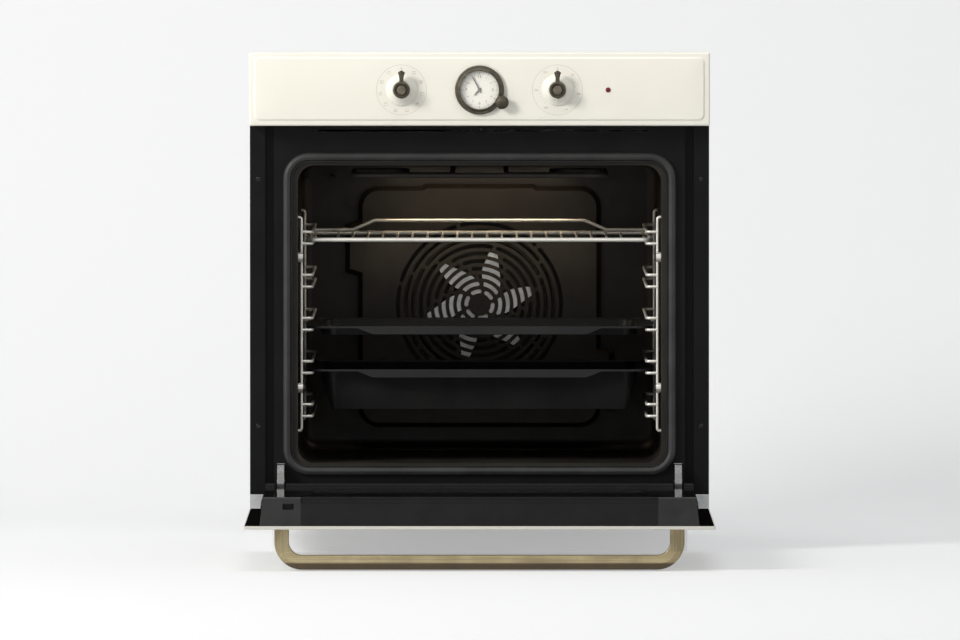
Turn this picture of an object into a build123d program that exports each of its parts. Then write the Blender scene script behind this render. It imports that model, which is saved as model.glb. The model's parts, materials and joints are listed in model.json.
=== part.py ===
# A built-in electric oven with its drop-down door open, in millimetres.
# +Z is up and the front faces -Y. The origin is the middle of the carcass underside.
# The door is drawn shut and then turned about its hinge, so its sizes read as depth and height.
from math import asin, atan2, cos, degrees, radians, sin, sqrt
import os

from build123d import *

os.makedirs("parts", exist_ok=True)

# Front
front_width = 597.0
front_height = 595.0
panel_height = 95.0
panel_depth = 42.0
panel_sheet = 1.2
panel_edge_round = 2.5
raised_height = 1.0
raised_margin_side = 6.5
raised_margin_top = 6.0
raised_margin_bottom = 8.0
raised_corner = 7.0
raised_edge_round = 0.9

# Front frame
frame_inset = 0.5
frame_sheet = 1.2
frame_bottom = 20.4
frame_edge_depth = 8.0
frame_lip = 8.0
channel_width = 11.0
channel_depth = 2.5
vent_slot_width = 430.0
vent_slot_height = 3.0
vent_slot_drop = 5.5
vent_slot_break = 22.0
niche_inset = 10.5
niche_rise = 110.0
niche_drop = 70.0
niche_hole = 2.5
spacer_wall = 3.0

# Carcass
carcass_inset = 20.5
carcass_depth = 525.0
carcass_drop = 18.0
steel = 1.0
carcass_flange = 10.0
fit = 0.3
past = 1.0  # how far a cut runs beyond a face
vent_pitch = 8.0
vent_opening = 4.0
vent_half_length = 60.0
side_vents = 6
side_vent_drop = 66.0
side_vent_inset = 60.0
side_vent_length = 90.0
top_vents = 8
rear_vents = 7
rear_vent_drop = 70.0
blower_vent_x = 130.0

# Cavity
cavity_side_gap = 42.0
cavity_top_gap = 52.0
cavity_rear_gap = 101.8
cavity_floor = 61.0
cavity_wall = 1.2
cavity_corner = 22.0
cavity_rear_corner = 14.0
mouth_flange = 14.0
mouth_lip = 7.0
fan_above_middle = 3.0
well_radius = 125.0
well_depth = 30.0

# Gasket
gasket_width = 12.0
gasket_beside = 19.0
gasket_above = 16.4
gasket_below = 15.3
gasket_gap = 0.4
gasket_corner = 34.0
gasket_round = 4.5

# Insulation
wool_thickness = 22.0
wool_gap_below = 9.5
wool_front_gap = 4.0
wool_clearance = 1.0

# Door, as distances in from its outer face and heights above the carcass underside
door_inset = 0.3
door_bottom = 6.0
door_gap = 6.0
door_sheet = 1.2
door_rim = 4.3
door_corner = 2.0
door_edge_round = 1.0
window_margin_side = 83.2
window_margin_bottom = 89.0
window_margin_top = 99.0
window_corner = 22.0
outer_glass_thickness = 4.0
outer_glass_overlap_side = 35.0
outer_glass_overlap_bottom = 25.0
outer_glass_overlap_top = 50.0
middle_glass_depth = 15.0
middle_glass_thickness = 4.0
inner_glass_depth = 29.0
inner_glass_thickness = 4.0
glass_corner = 3.0
glass_bevel = 0.5
structure_inset = 20.2
profile_wall = 1.6
profile_clearance = 1.0
top_profile_height = 24.0
top_profile_depth = 39.8
bottom_profile_height = 56.5
bottom_lip_height = 32.5
bottom_lip_depth = 37.0
profile_inset = 1.5
profile_bevel = 1.2
top_step_depth = 2.6
top_step_low = 1.5
top_step_high = 1.2
top_rib_low = 3.0
top_rib_high = 4.0
cap_width = 52.0
cap_taper = 4.0
cap_overhang = 4.0
cap_mark_sink = 0.6
cap_slot_width = 14.0
cap_slot_height = 7.6
cap_slot_inset = 36.2
cap_slot_depth = 28.8
cap_slot_reach = 9.0
cap_mark_inset = 28.0
cap_mark_depth = 21.5
glass_gap = 0.2
glass_inset = 1.0

# Hinges
hinge_inset = 20.0
hinge_depth = 13.0
hinge_height = 12.0
arm_width = 9.0
arm_boss_radius = 5.6
pin_radius = 3.5
pin_clearance = 0.08
pin_seat = 0.02
hinge_case_width = 14.0
hinge_case_sheet = 1.2
hinge_case_length = 184.0
spring_radius = 5.0
spring_bore = 3.2
spring_offset = 3.0
spring_start = 20.0
arm_top = 47.0
arm_bottom = 27.0
arm_tail = 70.0
arm_play = 1.0
receiver_sheet = 1.5

# Handle
handle_inset = 38.7
handle_projection = 52.0
handle_thickness = 18.4
handle_height_section = 17.0
handle_edge_round = 1.5
handle_shoulder = 11.0
handle_nose = 8.0
handle_bend = 26.0
handle_drop = 31.0
handle_screw_radius = 2.5
handle_screw_length = 16.0
handle_screw_head = 4.8
handle_screw_head_length = 3.0

# Controls
control_drop = 48.4
knob_spacing = 202.0
skirt_radius = 20.5
skirt_top_radius = 11.6
skirt_length = 9.5
skirt_rim = 1.6
skirt_shoulder_radius = 17.3
skirt_shoulder_depth = 3.6
skirt_neck_radius = 13.8
skirt_neck_length = 2.0
knob_gap = 0.5
hub_radius = 10.9
hub_length = 11.0
hub_disc_radius = 6.6
hub_disc_length = 1.2
hub_round = 2.0
pointer_reach = 25.4
pointer_tip = 9.0
pointer_neck = 5.5
pointer_depth = 7.0
pointer_root = 13.5
pointer_setback = 1.5
pointer_apex = 1.6
pointer_shoulder = 2.0
shaft_radius = 3.0
shaft_clearance = 0.1
shaft_engagement = 10.0
shaft_hole_gap = 1.5
switch_body = 44.0
switch_body_depth = 26.0
switch_bush_radius = 5.5
switch_bush_length = 4.0
switch_corner = 3.0
switch_tabs = 4
switch_tab_width = 6.0
switch_tab_length = 8.0
switch_tab_sheet = 0.8
thermostat_body = 50.0
bracket_setback = 16.0
bracket_leg = 40.0
bracket_side_gap = 6.0

# Clock
bezel_outer = 31.8
bezel_inner = 24.8
bezel_depth = 8.0
bezel_lip = 3.0
bezel_bevel = 0.8
dial_radius = 26.4
dial_thickness = 0.8
clock_glass_thickness = 1.4
clock_housing_radius = 27.2
hand_thickness = 0.6
hour_hand_lift = 1.2
minute_hand_lift = 2.2
hand_shoulder = 0.62
minute_length = 22.0
minute_tail = 4.0
minute_width = 1.8
hour_length = 10.8
hour_tail = 3.0
hour_width = 2.4
minute_angle = 332.0
hour_angle = 222.0
clock_knob_x = 29.0
clock_knob_drop = 16.0
clock_knob_radius = 8.9
clock_knob_length = 8.0
clock_knob_round = 2.5
clock_stem_radius = 2.4
arbor_radius = 0.85
arbor_wall = 0.65
arbor_clearance = 0.1
arbor_reach = 6.0

# Indicator and door switch
indicator_beside = 65.5
indicator_radius = 3.3
indicator_reach = 1.6
indicator_round = 1.4
indicator_clearance = 0.1
plunger_x = 2.0
plunger_drop = 5.0
plunger_radius = 2.2
plunger_reach = 8.0
plunger_round = 1.2
plunger_inside = 7.5
switch_case_height = 13.0
switch_case_depth = 16.0
switch_case_gap = 1.0

# Side racks
rack_wire = 4.0
rack_set_in = 4.5
guide_set_in = 18.4
rack_front = 30.0
rack_rear_gap = 40.0
rack_rise = 41.0
rack_drop = 68.0
level_count = 5
first_level_rise = 59.9
last_level_drop = 102.5
guide_gap = 15.3
guide_bend = 5.0
upright_bend = 3.4
upright_tip = 6.0
rack_clearance = 0.5
eyelet_radius = 6.5
eyelet_rise = 97.0
eyelet_drop = 120.0
eyelet_overlap = 1.0
screw_radius = 2.1
screw_head_radius = 4.5
screw_head_length = 2.4
screw_length = 9.0
screw_clearance = 0.1

# Wire shelf, at the fifth level
shelf_wire = 5.6
shelf_side_gap = 10.5
shelf_rear_gap = 11.0
shelf_corner = 14.0
cross_wire = 3.2
cross_count = 20
cross_pitch = 19.55
rail_wire = 4.4
rail_rise = 16.5
rail_half_width = 139.0
rail_slope = 29.0
rail_bend = 14.0
rail_sink = 0.8
seat_gap = 0.05

# Trays
tray_side_gap = 10.5
tray_rear_gap = 6.0
tray_corner = 22.0
tray_sheet = 1.2
tray_rim = 18.5
rim_edge = 2.6
shallow_drop = 9.0
deep_drop = 50.0
deep_taper = 14.0
lip_half_width = 160.0
lip_half_bottom = 139.0
lip_drop = 9.0
tray_set_back = 34.0

# Fan cover
cover_half_width = 161.0
cover_rise = 30.0
cover_drop = 37.0
cover_corner = 28.0
cover_standoff = 14.0
cover_sheet = 1.2
cover_step_half = 72.0
cover_step = 3.0
cover_jog = 17.0
cover_jog_height = 74.0
cover_jog_offset = 38.0
cover_jog_slope = 5.0
cover_jog_drop = 18.0
cover_step_slope = 4.0
cover_slope = 6.0
ear_reach = 7.0
ear_corner = 4.0
ear_overlap = 6.0
slot_width = 5.3
first_ring = 17.5
ring_pitch = 10.08
ring_count = 10
slots_per_ring = 6
first_slot_start = -45.0
slot_turn = 10.0
slot_bridge = 4.0
cover_screw_beside = 9.0
cover_screw_from_bottom = 24.6
cover_screw_from_top = 22.4

# Fan, motors and heaters
fan_radius = 72.0
fan_sheet = 1.5
fan_arms = 6
fan_arm_sides = ((-30, 18), (-17, 25), (-4.6, 25.4), (3.8, 22.4), (9, 20))  # degrees, ring by ring
fan_arm_tip = (10.5, 18.5)
fan_middle_radius = 22.0
fan_arm_root = 15.4
fan_blade_turn = 8.5
fan_blade_depth = 22.0
fan_gap = 5.0
fan_blade_sheet = 1.2
fan_blade_length = 43.0
fan_blade_middle = 47.5
fan_blade_pitch = 18.0
fan_hub_radius = 9.0
fan_hub_length = 16.0
fan_nut_radius = 6.0
fan_nut_length = 2.5
fan_shaft_radius = 4.0
fan_shaft_clearance = 1.0
tube_radius = 3.25
ring_outer = 100.0
ring_inner = 88.0
ring_start = -84.0
ring_finish = -70.0
ring_turn = 240.0
ring_bend = 8.0
ring_behind_fan = 20.0
element_tail = 28.0
grill_lead_x = 35.0
bottom_lead_x = 30.0
grill_half_width = 165.0
grill_front = 45.0
grill_rear_gap = 100.0
grill_drop = 14.0
grill_bend = 20.0
grill_loop = 60.0
grill_loop_start = 40.0
bottom_bend = 24.0
bottom_loop = 80.0
bottom_loop_start = 60.0
bottom_front = 60.0
bottom_rear_gap = 8.0
motor_plate_radius = 48.0
stack_size = 62.0
stack_depth = 22.0
blower_stack_depth = 14.0
motor_plate = 2.0
motor_post = 6.0
motor_post_radius = 4.0
motor_post_x = 22.0
motor_post_y = 18.0
stack_tail = 12.0
coil_length = 36.0
coil_width = 18.0
coil_overhang = 6.0
coil_round = 5.0
bearing_radius = 11.0
bearing_length = 6.0

# Cooling
duct_inset = 58.0
duct_height = 25.6
duct_length = 300.0
blower_radius = 29.0
blower_clearance = 4.0
blower_inset = 5.0
blower_length = 168.0
blower_blades = 18
blower_blade_depth = 7.0
blower_blade_sheet = 0.8
blower_blade_pitch = 30.0
blower_disc = 1.0
blower_end_gap = 3.0
blower_shaft_tail = 26.0
blower_shaft_end = 4.0
blower_middle_bore = 16.0
blower_slots = 5
blower_slot_pitch = 9.0
blower_slot_width = 5.0
blower_slot_margin = 8.0

# Oven lamp
lamp_set_back = 52.0
lamp_radius = 25.0
lamp_dome = 6.0
lamp_holder_height = 42.0
lamp_round = 9.0
lamp_wall = 2.5
lamp_skirt = 14.0
lamp_cup_wall = 2.7
lamp_clearance = 0.5
lamp_socket_radius = 9.0
lamp_socket_length = 23.0
lamp_socket_top = 1.0

# Temperature sensor and mains inlet
sensor_inset = 41.0
sensor_drop = 24.0
sensor_radius = 2.5
sensor_length = 95.0
sensor_stem_radius = 1.8
sensor_stem_start = 6.0
sensor_stem_tail = 30.0
gland_inset = 63.0
gland_drop = 47.0
gland_radius = 9.0
cord_radius = 4.0
terminal_half_width = 38.0
terminal_half_height = 26.0
terminal_depth = 34.0
terminal_wall = 2.0
gland_reach = 6.0
gland_clearance = 0.2
terminal_blocks = 4
terminal_block_width = 10.0
terminal_block_pitch = 15.0
terminal_block_height = 16.0
terminal_block_depth = 16.5
terminal_block_first = 28.0

# Planes, heights and widths that follow from the sizes above
frame_width = front_width - 2 * frame_inset
door_width = front_width - 2 * door_inset
carcass_width = front_width - 2 * carcass_inset
carcass_height = front_height - carcass_drop
channel_outer = carcass_width / 2
channel_inner = channel_outer - channel_width
niche_x = frame_width / 2 - niche_inset
hinge_x = carcass_width / 2 - hinge_inset
cabinet_plane = -carcass_depth / 2
rear = carcass_depth / 2
frame_front = cabinet_plane - frame_edge_depth
frame_back = frame_front + frame_sheet
fascia = frame_front - panel_depth
panel_bottom = front_height - panel_height
niche_heights = (niche_rise, panel_bottom - niche_drop)
cavity_front = frame_back
cavity_back = rear - cavity_rear_gap
cavity_depth = cavity_back - cavity_front
cavity_top = panel_bottom - cavity_top_gap
cavity_height = cavity_top - cavity_floor
cavity_half = carcass_width / 2 - cavity_side_gap
cover_bottom = cavity_floor + cover_rise
cover_top = cavity_top - cover_drop
fan_height = (cover_bottom + cover_top) / 2 + fan_above_middle
hinge_y = fascia + hinge_depth
door_top = panel_bottom - door_gap
gasket_height = panel_depth - inner_glass_depth - inner_glass_thickness - gasket_gap
cover_face = cavity_back - cover_standoff
structure_half_width = door_width / 2 - structure_inset
structure_bottom = door_bottom + profile_inset
structure_top = door_top - profile_inset
top_profile_bottom = structure_top - top_profile_height
bracket_face = frame_front - bracket_setback
duct_floor = cavity_top + cavity_wall + wool_thickness + 2 * fit
bottom_profile_top = structure_bottom + bottom_profile_height
bottom_lip_top = structure_bottom + bottom_lip_height
window_half_width = door_width / 2 - window_margin_side
window_bottom = door_bottom + window_margin_bottom
window_top = door_top - window_margin_top
outer_glass_half_width = window_half_width + outer_glass_overlap_side
outer_glass_bottom = window_bottom - outer_glass_overlap_bottom
outer_glass_top = window_top + outer_glass_overlap_top
handle_half_width = door_width / 2 - handle_inset
handle_height = door_top - handle_drop
control_height = front_height - control_drop
indicator_x = knob_spacing / 2 + indicator_beside
plunger_height = panel_bottom - plunger_drop
rack_x = cavity_half - rack_set_in
rack_guide_x = cavity_half - guide_set_in
rack_length = cavity_depth - rack_front - rack_rear_gap
rack_bottom = cavity_floor + rack_rise
rack_top = cavity_top - rack_drop
first_level = cavity_floor + first_level_rise
level_pitch = (cavity_height - first_level_rise - last_level_drop) / (level_count - 1)
eyelet_heights = (cavity_floor + eyelet_rise, cavity_top - eyelet_drop)
shelf_half_width = cavity_half - shelf_side_gap
shelf_depth = rack_front + rack_length - tray_set_back - shelf_rear_gap
tray_half_width = cavity_half - tray_side_gap
tray_depth = rack_front + rack_length - tray_set_back - tray_rear_gap
cover_screw_x = cover_half_width + cover_screw_beside
cover_screw_heights = (cover_bottom + cover_screw_from_bottom, cover_top - cover_screw_from_top)
grill_depth = cavity_depth - grill_front - grill_rear_gap
duct_half_width = carcass_width / 2 - duct_inset
blower_left = duct_half_width - blower_inset
sensor_x = sensor_inset - cavity_half
sensor_height = cavity_top - sensor_drop
gland_x = gland_inset - carcass_width / 2
gland_height = carcass_height - gland_drop
lamp_y = cavity_back - lamp_set_back


def block(x0, x1, y0, y1, z0, z1):
    size = (x1 - x0, y1 - y0, z1 - z0)
    return Pos((x0 + x1) / 2, (y0 + y1) / 2, (z0 + z1) / 2) * Box(*size)


def round_block(x0, x1, y0, y1, z0, z1, corner):
    # a plate or block whose four edges along Y are rounded
    face = RectangleRounded(x1 - x0, z1 - z0, corner)
    return Pos((x0 + x1) / 2, y1, (z0 + z1) / 2) * Rot(90, 0, 0) * extrude(face, y1 - y0)


def rod_x(x0, x1, y, z, radius):
    return Pos((x0 + x1) / 2, y, z) * Rot(0, 90, 0) * Cylinder(radius, x1 - x0)


def rod_y(x, y0, y1, z, radius):
    return Pos(x, (y0 + y1) / 2, z) * Rot(90, 0, 0) * Cylinder(radius, y1 - y0)


def rod_z(x, y, z0, z1, radius):
    return Pos(x, y, (z0 + z1) / 2) * Cylinder(radius, z1 - z0)


def bent_rod(points, bend, radius):
    path = FilletPolyline(*points, radius=bend)
    return sweep(Plane(origin=path @ 0, z_dir=path % 0) * Circle(radius), path=path)


def plate_yz(points, x0, x1):
    # a flat plate cut to an outline in Y and Z
    plane = Plane(origin=(x0, 0, 0), x_dir=(0, 1, 0), z_dir=(1, 0, 0))
    return extrude(plane * make_face(Polyline(*points, close=True)), x1 - x0)


def plate_xz(points, y0, y1):
    # a flat plate cut to an outline in X and Z
    plane = Plane(origin=(0, y1, 0), x_dir=(1, 0, 0), z_dir=(0, -1, 0))
    return extrude(plane * make_face(Polyline(*points, close=True)), y1 - y0)


def both_sides(solid):
    return [solid, mirror(solid, about=Plane.YZ)]


def opened(shape):
    return shape.rotate(Axis((0, hinge_y, hinge_height), (1, 0, 0)), 90)


def depth(inward):
    # the closed door's depth, counted in from its outer face
    return fascia + inward


def save(name, *solids):
    shape = solids[0] if len(solids) == 1 else Compound(children=list(solids))
    export_step(shape, f"parts/{name}.step")


def save_door(name, *solids):
    save(name, *[opened(s) for s in solids])


def front_frame():
    half = frame_width / 2
    opening = cavity_half + mouth_lip
    top = panel_bottom
    wall = frame_sheet
    front = frame_front
    plate = block(-half, half, front, frame_back, frame_bottom, top)
    for side in (-1, 1):
        x0, x1 = sorted((side * channel_inner, side * channel_outer))
        back = frame_back + channel_depth
        groove = block(x0, x1, front, frame_back, frame_bottom, top)
        pressed = block(x0 - wall, x1 + wall, front, back, frame_bottom, top)
        pressed -= block(x0, x1, front, back - wall, frame_bottom, top)
        x0, x1 = sorted((side * half, side * (half - wall)))
        plate = plate - groove + pressed + block(x0, x1, front, cabinet_plane, frame_bottom, top)
    plate += block(-cavity_half, cavity_half, front, frame_back + frame_lip, top - wall, top)
    plate -= round_block(
        -opening, opening, front - past, frame_back + past,
        cavity_floor - mouth_lip, cavity_top + mouth_lip, cavity_corner + mouth_lip,
    )
    slot_top = top - vent_slot_drop
    for start, end in ((-vent_slot_width, -vent_slot_break), (vent_slot_break, vent_slot_width)):
        plate -= block(
            plunger_x + start / 2, plunger_x + end / 2, front - past, frame_back + past,
            slot_top - vent_slot_height, slot_top,
        )
    plate -= rod_y(plunger_x, front - past, frame_back + past, plunger_height, plunger_radius + fit)
    play = arm_width / 2 + arm_play
    low = hinge_height + arm_bottom - 2 * arm_play
    high = hinge_height + arm_top + 2 * arm_play
    for side in (-1, 1):
        x = side * hinge_x
        plate -= block(x - play, x + play, front - past, frame_back + past, low, high)
        for height in niche_heights:
            plate -= rod_y(side * niche_x, front - past, frame_back + past, height, niche_hole)
    return plate


def niche_spacers():
    made = []
    for side in (-1, 1):
        for height in niche_heights:
            tube = rod_y(side * niche_x, frame_back, cabinet_plane, height, niche_hole + spacer_wall)
            made.append(tube - rod_y(side * niche_x, frame_back, cabinet_plane, height, niche_hole))
    return made


def control_panel():
    half = front_width / 2
    front = fascia + raised_height
    wall = panel_sheet
    shell = block(-half, half, front, frame_front, panel_bottom, front_height)
    shell = fillet(shell.faces().sort_by(Axis.Y)[0].edges(), panel_edge_round)
    shell -= block(
        -half + wall, half - wall, front + wall, frame_front, panel_bottom + wall, front_height - wall
    )
    raised = round_block(
        -half + raised_margin_side, half - raised_margin_side, fascia, front + wall / 2,
        panel_bottom + raised_margin_bottom, front_height - raised_margin_top, raised_corner,
    )
    shell += fillet(raised.faces().sort_by(Axis.Y)[0].edges(), raised_edge_round)
    through = front + wall + past
    for side in (-1, 1):
        hole = shaft_radius + shaft_hole_gap
        shell -= rod_y(side * knob_spacing / 2, fascia - past, through, control_height, hole)
    shell -= rod_y(0, fascia - past, through, control_height, clock_housing_radius + fit)
    stem = clock_stem_radius + shaft_clearance
    shell -= rod_y(clock_knob_x, fascia - past, through, control_height - clock_knob_drop, stem)
    lamp_hole = indicator_radius + indicator_clearance
    return shell - rod_y(indicator_x, fascia - past, through, control_height, lamp_hole)


def control_bracket():
    half = carcass_width / 2 - bracket_side_gap
    low = panel_bottom + panel_sheet
    high = carcass_height - steel
    web = block(-half, half, bracket_face, bracket_face + steel, low, high)
    foot = block(-half, half, bracket_face, frame_back + frame_lip, low, low + steel)
    head = block(-half, half, bracket_face, frame_front + bracket_leg, high - steel, high)
    bracket = web + foot + head
    for side in (-1, 1):
        x = side * knob_spacing / 2
        hole = switch_bush_radius + shaft_clearance
        bracket -= rod_y(x, bracket_face - past, bracket_face + steel + past, control_height, hole)
    return bracket


def switch(x, height):
    front = bracket_face + steel
    half = switch_body / 2
    back = front + switch_body_depth
    low = control_height - height / 2
    body = block(x - half, x + half, front, back, low, low + height)
    body = fillet(body.edges().filter_by(Axis.Y), switch_corner)
    body += rod_y(x, bracket_face - switch_bush_length, front, control_height, switch_bush_radius)
    tab = switch_tab_width / 2
    sheet = switch_tab_sheet / 2
    for k in range(switch_tabs):
        tab_x = x - half + (k + 0.5) * switch_body / switch_tabs
        for z in (low + height / 4, low + height * 3 / 4):
            body += block(tab_x - tab, tab_x + tab, back, back + switch_tab_length, z - sheet, z + sheet)
    bore = shaft_radius + shaft_clearance
    return body - rod_y(
        x, bracket_face - switch_bush_length - past, front + shaft_engagement + past, control_height, bore
    )


def knob_skirt(x):
    # a bell: a short cylinder at the panel that sweeps up to a narrow neck
    back = -knob_gap
    front = back - skirt_length
    bell = Polyline(
        (shaft_radius, back), (skirt_radius, back), (skirt_radius, back - skirt_rim),
        (skirt_shoulder_radius, back - skirt_shoulder_depth),
        (skirt_neck_radius, front + skirt_neck_length), (skirt_top_radius, front),
        (shaft_radius, front), close=True,
    )
    solid = revolve(make_face(bell), Axis.Y)
    return Pos(x, fascia, control_height) * solid


def knob(x):
    back = fascia - knob_gap - skirt_length
    front = back - hub_length
    hub = rod_y(x, front, back, control_height, hub_radius)
    hub = fillet(hub.faces().sort_by(Axis.Y)[0].edges(), hub_round)
    disc = rod_y(x, front - hub_disc_length, front, control_height, hub_disc_radius)
    top = pointer_reach
    shoulder = top - pointer_shoulder
    tip = pointer_tip / 2
    neck = hub_radius + pointer_shoulder
    right_half = [
        (pointer_root / 2, 0), (pointer_neck / 2, neck), (tip, shoulder), (pointer_apex / 2, top)
    ]
    outline = [(-px, pz) for px, pz in right_half] + right_half[::-1]
    placed = [(x + px, control_height + pz) for px, pz in outline]
    pointer_front = front + pointer_setback
    pointer = plate_xz(placed, pointer_front, pointer_front + pointer_depth)
    shaft = rod_y(x, back, bracket_face + steel + shaft_engagement, control_height, shaft_radius)
    return hub + disc + pointer + shaft


def clock_parts():
    z = control_height
    arbor_hole = arbor_radius + arbor_wall + 2 * arbor_clearance
    housing = rod_y(0, fascia, bracket_face, z, clock_housing_radius)
    housing -= rod_y(0, fascia, fascia + arbor_reach + 2 * past, z, arbor_hole)
    dial_front = fascia - dial_thickness
    dial = rod_y(0, dial_front, fascia, z, dial_radius) - rod_y(0, dial_front, fascia, z, arbor_hole)
    glass_back = fascia - bezel_depth + bezel_lip + clock_glass_thickness
    glass = rod_y(0, glass_back - clock_glass_thickness, glass_back, z, dial_radius)
    front = -bezel_depth
    seat = dial_radius + arbor_clearance
    outline = Polyline(
        (bezel_outer, 0), (bezel_outer, front + bezel_lip),
        (bezel_outer - bezel_bevel, front + bezel_bevel), (bezel_outer - bezel_lip, front),
        (bezel_inner + bezel_bevel, front), (bezel_inner, front + bezel_bevel),
        (bezel_inner, front + bezel_lip), (seat, front + bezel_lip), (seat, 0), close=True,
    )
    bezel = Pos(0, fascia, z) * revolve(make_face(outline), Axis.Y)
    stem = clock_stem_radius + shaft_clearance
    bezel -= rod_y(clock_knob_x, fascia - bezel_depth - past, fascia, z - clock_knob_drop, stem)
    return housing, dial, glass, bezel


def hand(length, tail, width, heading, lift, arbor_outer, arbor_bore):
    # a tapered blade on a hub, with its arbor running back into the movement
    z = control_height
    back = fascia - lift
    angle = radians(heading)
    half = width / 2
    shoulder = length * hand_shoulder
    outline = [(-half, -tail), (-half, shoulder), (0, length), (half, shoulder), (half, -tail)]
    turned = [
        (px * cos(angle) + pz * sin(angle), z + pz * cos(angle) - px * sin(angle)) for px, pz in outline
    ]
    blade = plate_xz(turned, back - hand_thickness, back)
    blade += rod_y(0, back - hand_thickness, back, z, width)
    blade += rod_y(0, back, fascia + arbor_reach, z, arbor_outer)
    if arbor_bore:
        blade -= rod_y(0, back - hand_thickness - past, fascia + arbor_reach + past, z, arbor_bore)
    return blade


def clock_knob():
    z = control_height - clock_knob_drop
    back = fascia - bezel_depth - knob_gap
    cap = rod_y(clock_knob_x, back - clock_knob_length, back, z, clock_knob_radius)
    cap = fillet(cap.faces().sort_by(Axis.Y)[0].edges(), clock_knob_round)
    return cap + rod_y(clock_knob_x, back, bracket_face, z, clock_stem_radius)


def indicator_lamp():
    body = rod_y(indicator_x, fascia - indicator_reach, bracket_face, control_height, indicator_radius)
    return fillet(body.faces().sort_by(Axis.Y)[0].edges(), indicator_round)


def door_switch():
    back = frame_back + switch_case_depth
    half = vent_slot_break / 2 - switch_case_gap
    high = panel_bottom - frame_sheet
    body = block(plunger_x - half, plunger_x + half, frame_back, back, high - switch_case_height, high)
    bore = plunger_radius + shaft_clearance
    return body - rod_y(plunger_x, frame_back - past, back - past, plunger_height, bore)


def plunger():
    front = frame_front - plunger_reach
    pin = rod_y(plunger_x, front, frame_back + plunger_inside, plunger_height, plunger_radius)
    return fillet(pin.faces().sort_by(Axis.Y)[0].edges(), plunger_round)


def cavity_block(grow, front):
    # the rounded box of the cavity, grown by a wall and reaching forward to a plane
    half = cavity_half + grow
    back = cavity_back + grow
    low = cavity_floor - grow
    high = cavity_top + grow
    box = block(-half, half, front, back, low, high)
    box = fillet(box.edges().filter_by(Axis.Y), cavity_corner + grow)
    return fillet(box.faces().sort_by(Axis.Y)[-1].edges(), cavity_rear_corner + grow)


def cavity():
    flange = mouth_flange
    half = cavity_half
    shell = cavity_block(cavity_wall, cavity_front)
    shell += round_block(
        -half - flange, half + flange, cavity_front, cavity_front + cavity_wall,
        cavity_floor - flange, cavity_top + flange, cavity_corner + flange,
    )
    outside = cavity_back + cavity_wall + past
    well_back = cavity_back + well_depth
    shell += rod_y(0, cavity_back, well_back + cavity_wall, fan_height, well_radius + cavity_wall)
    shell -= cavity_block(0, cavity_front - past)
    shell -= rod_y(0, cavity_back - past, well_back, fan_height, well_radius)
    shell -= rod_y(0, cavity_back, well_back + cavity_wall + past, fan_height, fan_bore())
    lamp_hole = lamp_radius + lamp_clearance
    shell -= rod_z(0, lamp_y, cavity_top - past, cavity_top + cavity_wall + past, lamp_hole)
    screw = screw_radius + screw_clearance
    upright = rack_wire / 2 + rack_clearance
    for side in (-1, 1):
        x0, x1 = sorted((side * (half - past), side * (half + cavity_wall + past)))
        for height in cover_screw_heights:
            shell -= rod_y(side * cover_screw_x, cavity_back - past, outside, height, screw)
        for height in eyelet_heights:
            shell -= rod_x(x0, x1, eyelet_y(), height, screw)
        for y in rack_ends():
            for height in (rack_bottom, rack_top):
                shell -= rod_x(x0, x1, y, height, upright)
    for x in (-grill_lead_x, grill_lead_x):
        shell -= rod_y(x, cavity_back - past, outside, cavity_top - grill_drop, tube_radius + fit)
    for x, z in ring_leads():
        shell -= rod_y(x, well_back - past, well_back + cavity_wall + past, z, tube_radius + fit)
    return shell - rod_y(sensor_x, cavity_back - past, outside, sensor_height, sensor_radius + fit)


def fan_bore():
    return fan_shaft_radius + fan_shaft_clearance


def rack_ends():
    return (cavity_front + rack_front, cavity_front + rack_front + rack_length)


def eyelet_y():
    return rack_ends()[0] - eyelet_radius - rack_wire / 2 + eyelet_overlap


def ring_leads():
    # where the two ends of the ring element pass through the back of the well, as X and Z
    ends = []
    for radius, heading in ((ring_inner, radians(ring_start)), (ring_outer, radians(ring_finish))):
        x = radius * cos(heading) + ring_bend * sin(heading)
        z = fan_height + radius * sin(heading) - ring_bend * cos(heading)
        ends.append((x, z))
    return ends


def gasket():
    near = frame_front - gasket_height
    half = cavity_half + gasket_beside
    low = cavity_floor - gasket_below
    high = cavity_top + gasket_above
    w = gasket_width
    ring = round_block(-half, half, near, frame_front, low, high, gasket_corner)
    ring -= round_block(
        -half + w, half - w, near - past, frame_front + past, low + w, high - w, gasket_corner - w
    )
    return fillet(ring.faces().sort_by(Axis.Y)[0].edges(), gasket_round)


def fan_cover_outline():
    # a step in the top edge, and a bulge on each side for the air, turned half round from each other
    w = cover_half_width
    out = w + cover_jog
    top = cover_top
    slope = cover_jog_slope
    raised = top + cover_step
    left_low = fan_height + cover_jog_offset
    left_high = left_low + cover_jog_height
    right_high = fan_height - cover_jog_offset - cover_jog_drop
    right_low = right_high - cover_jog_height
    points = [
        (-w, cover_bottom), (w, cover_bottom), (w, right_low), (out, right_low + slope),
        (out, right_high - slope), (w, right_high), (w, top), (cover_step_half + cover_step_slope, top),
        (cover_step_half, raised), (-cover_step_half, raised), (-cover_step_half - cover_step_slope, top),
        (-w, top), (-w, left_high), (-out, left_high - slope), (-out, left_low + slope), (-w, left_low),
    ]
    face = make_face(Polyline(*points, close=True))
    outer = [(-w, cover_bottom), (w, cover_bottom), (w, top), (-w, top)]
    corners = [v for v in face.vertices() if any(abs(v.X - x) + abs(v.Y - y) < 0.01 for x, y in outer)]
    return fillet(corners, cover_corner)


def ring_arc(radius, start, end):
    # the middle line of one curved slot
    middle = (start + end) / 2
    return ThreePointArc(
        (radius * cos(radians(start)), radius * sin(radians(start))),
        (radius * cos(radians(middle)), radius * sin(radians(middle))),
        (radius * cos(radians(end)), radius * sin(radians(end))),
    )


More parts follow.
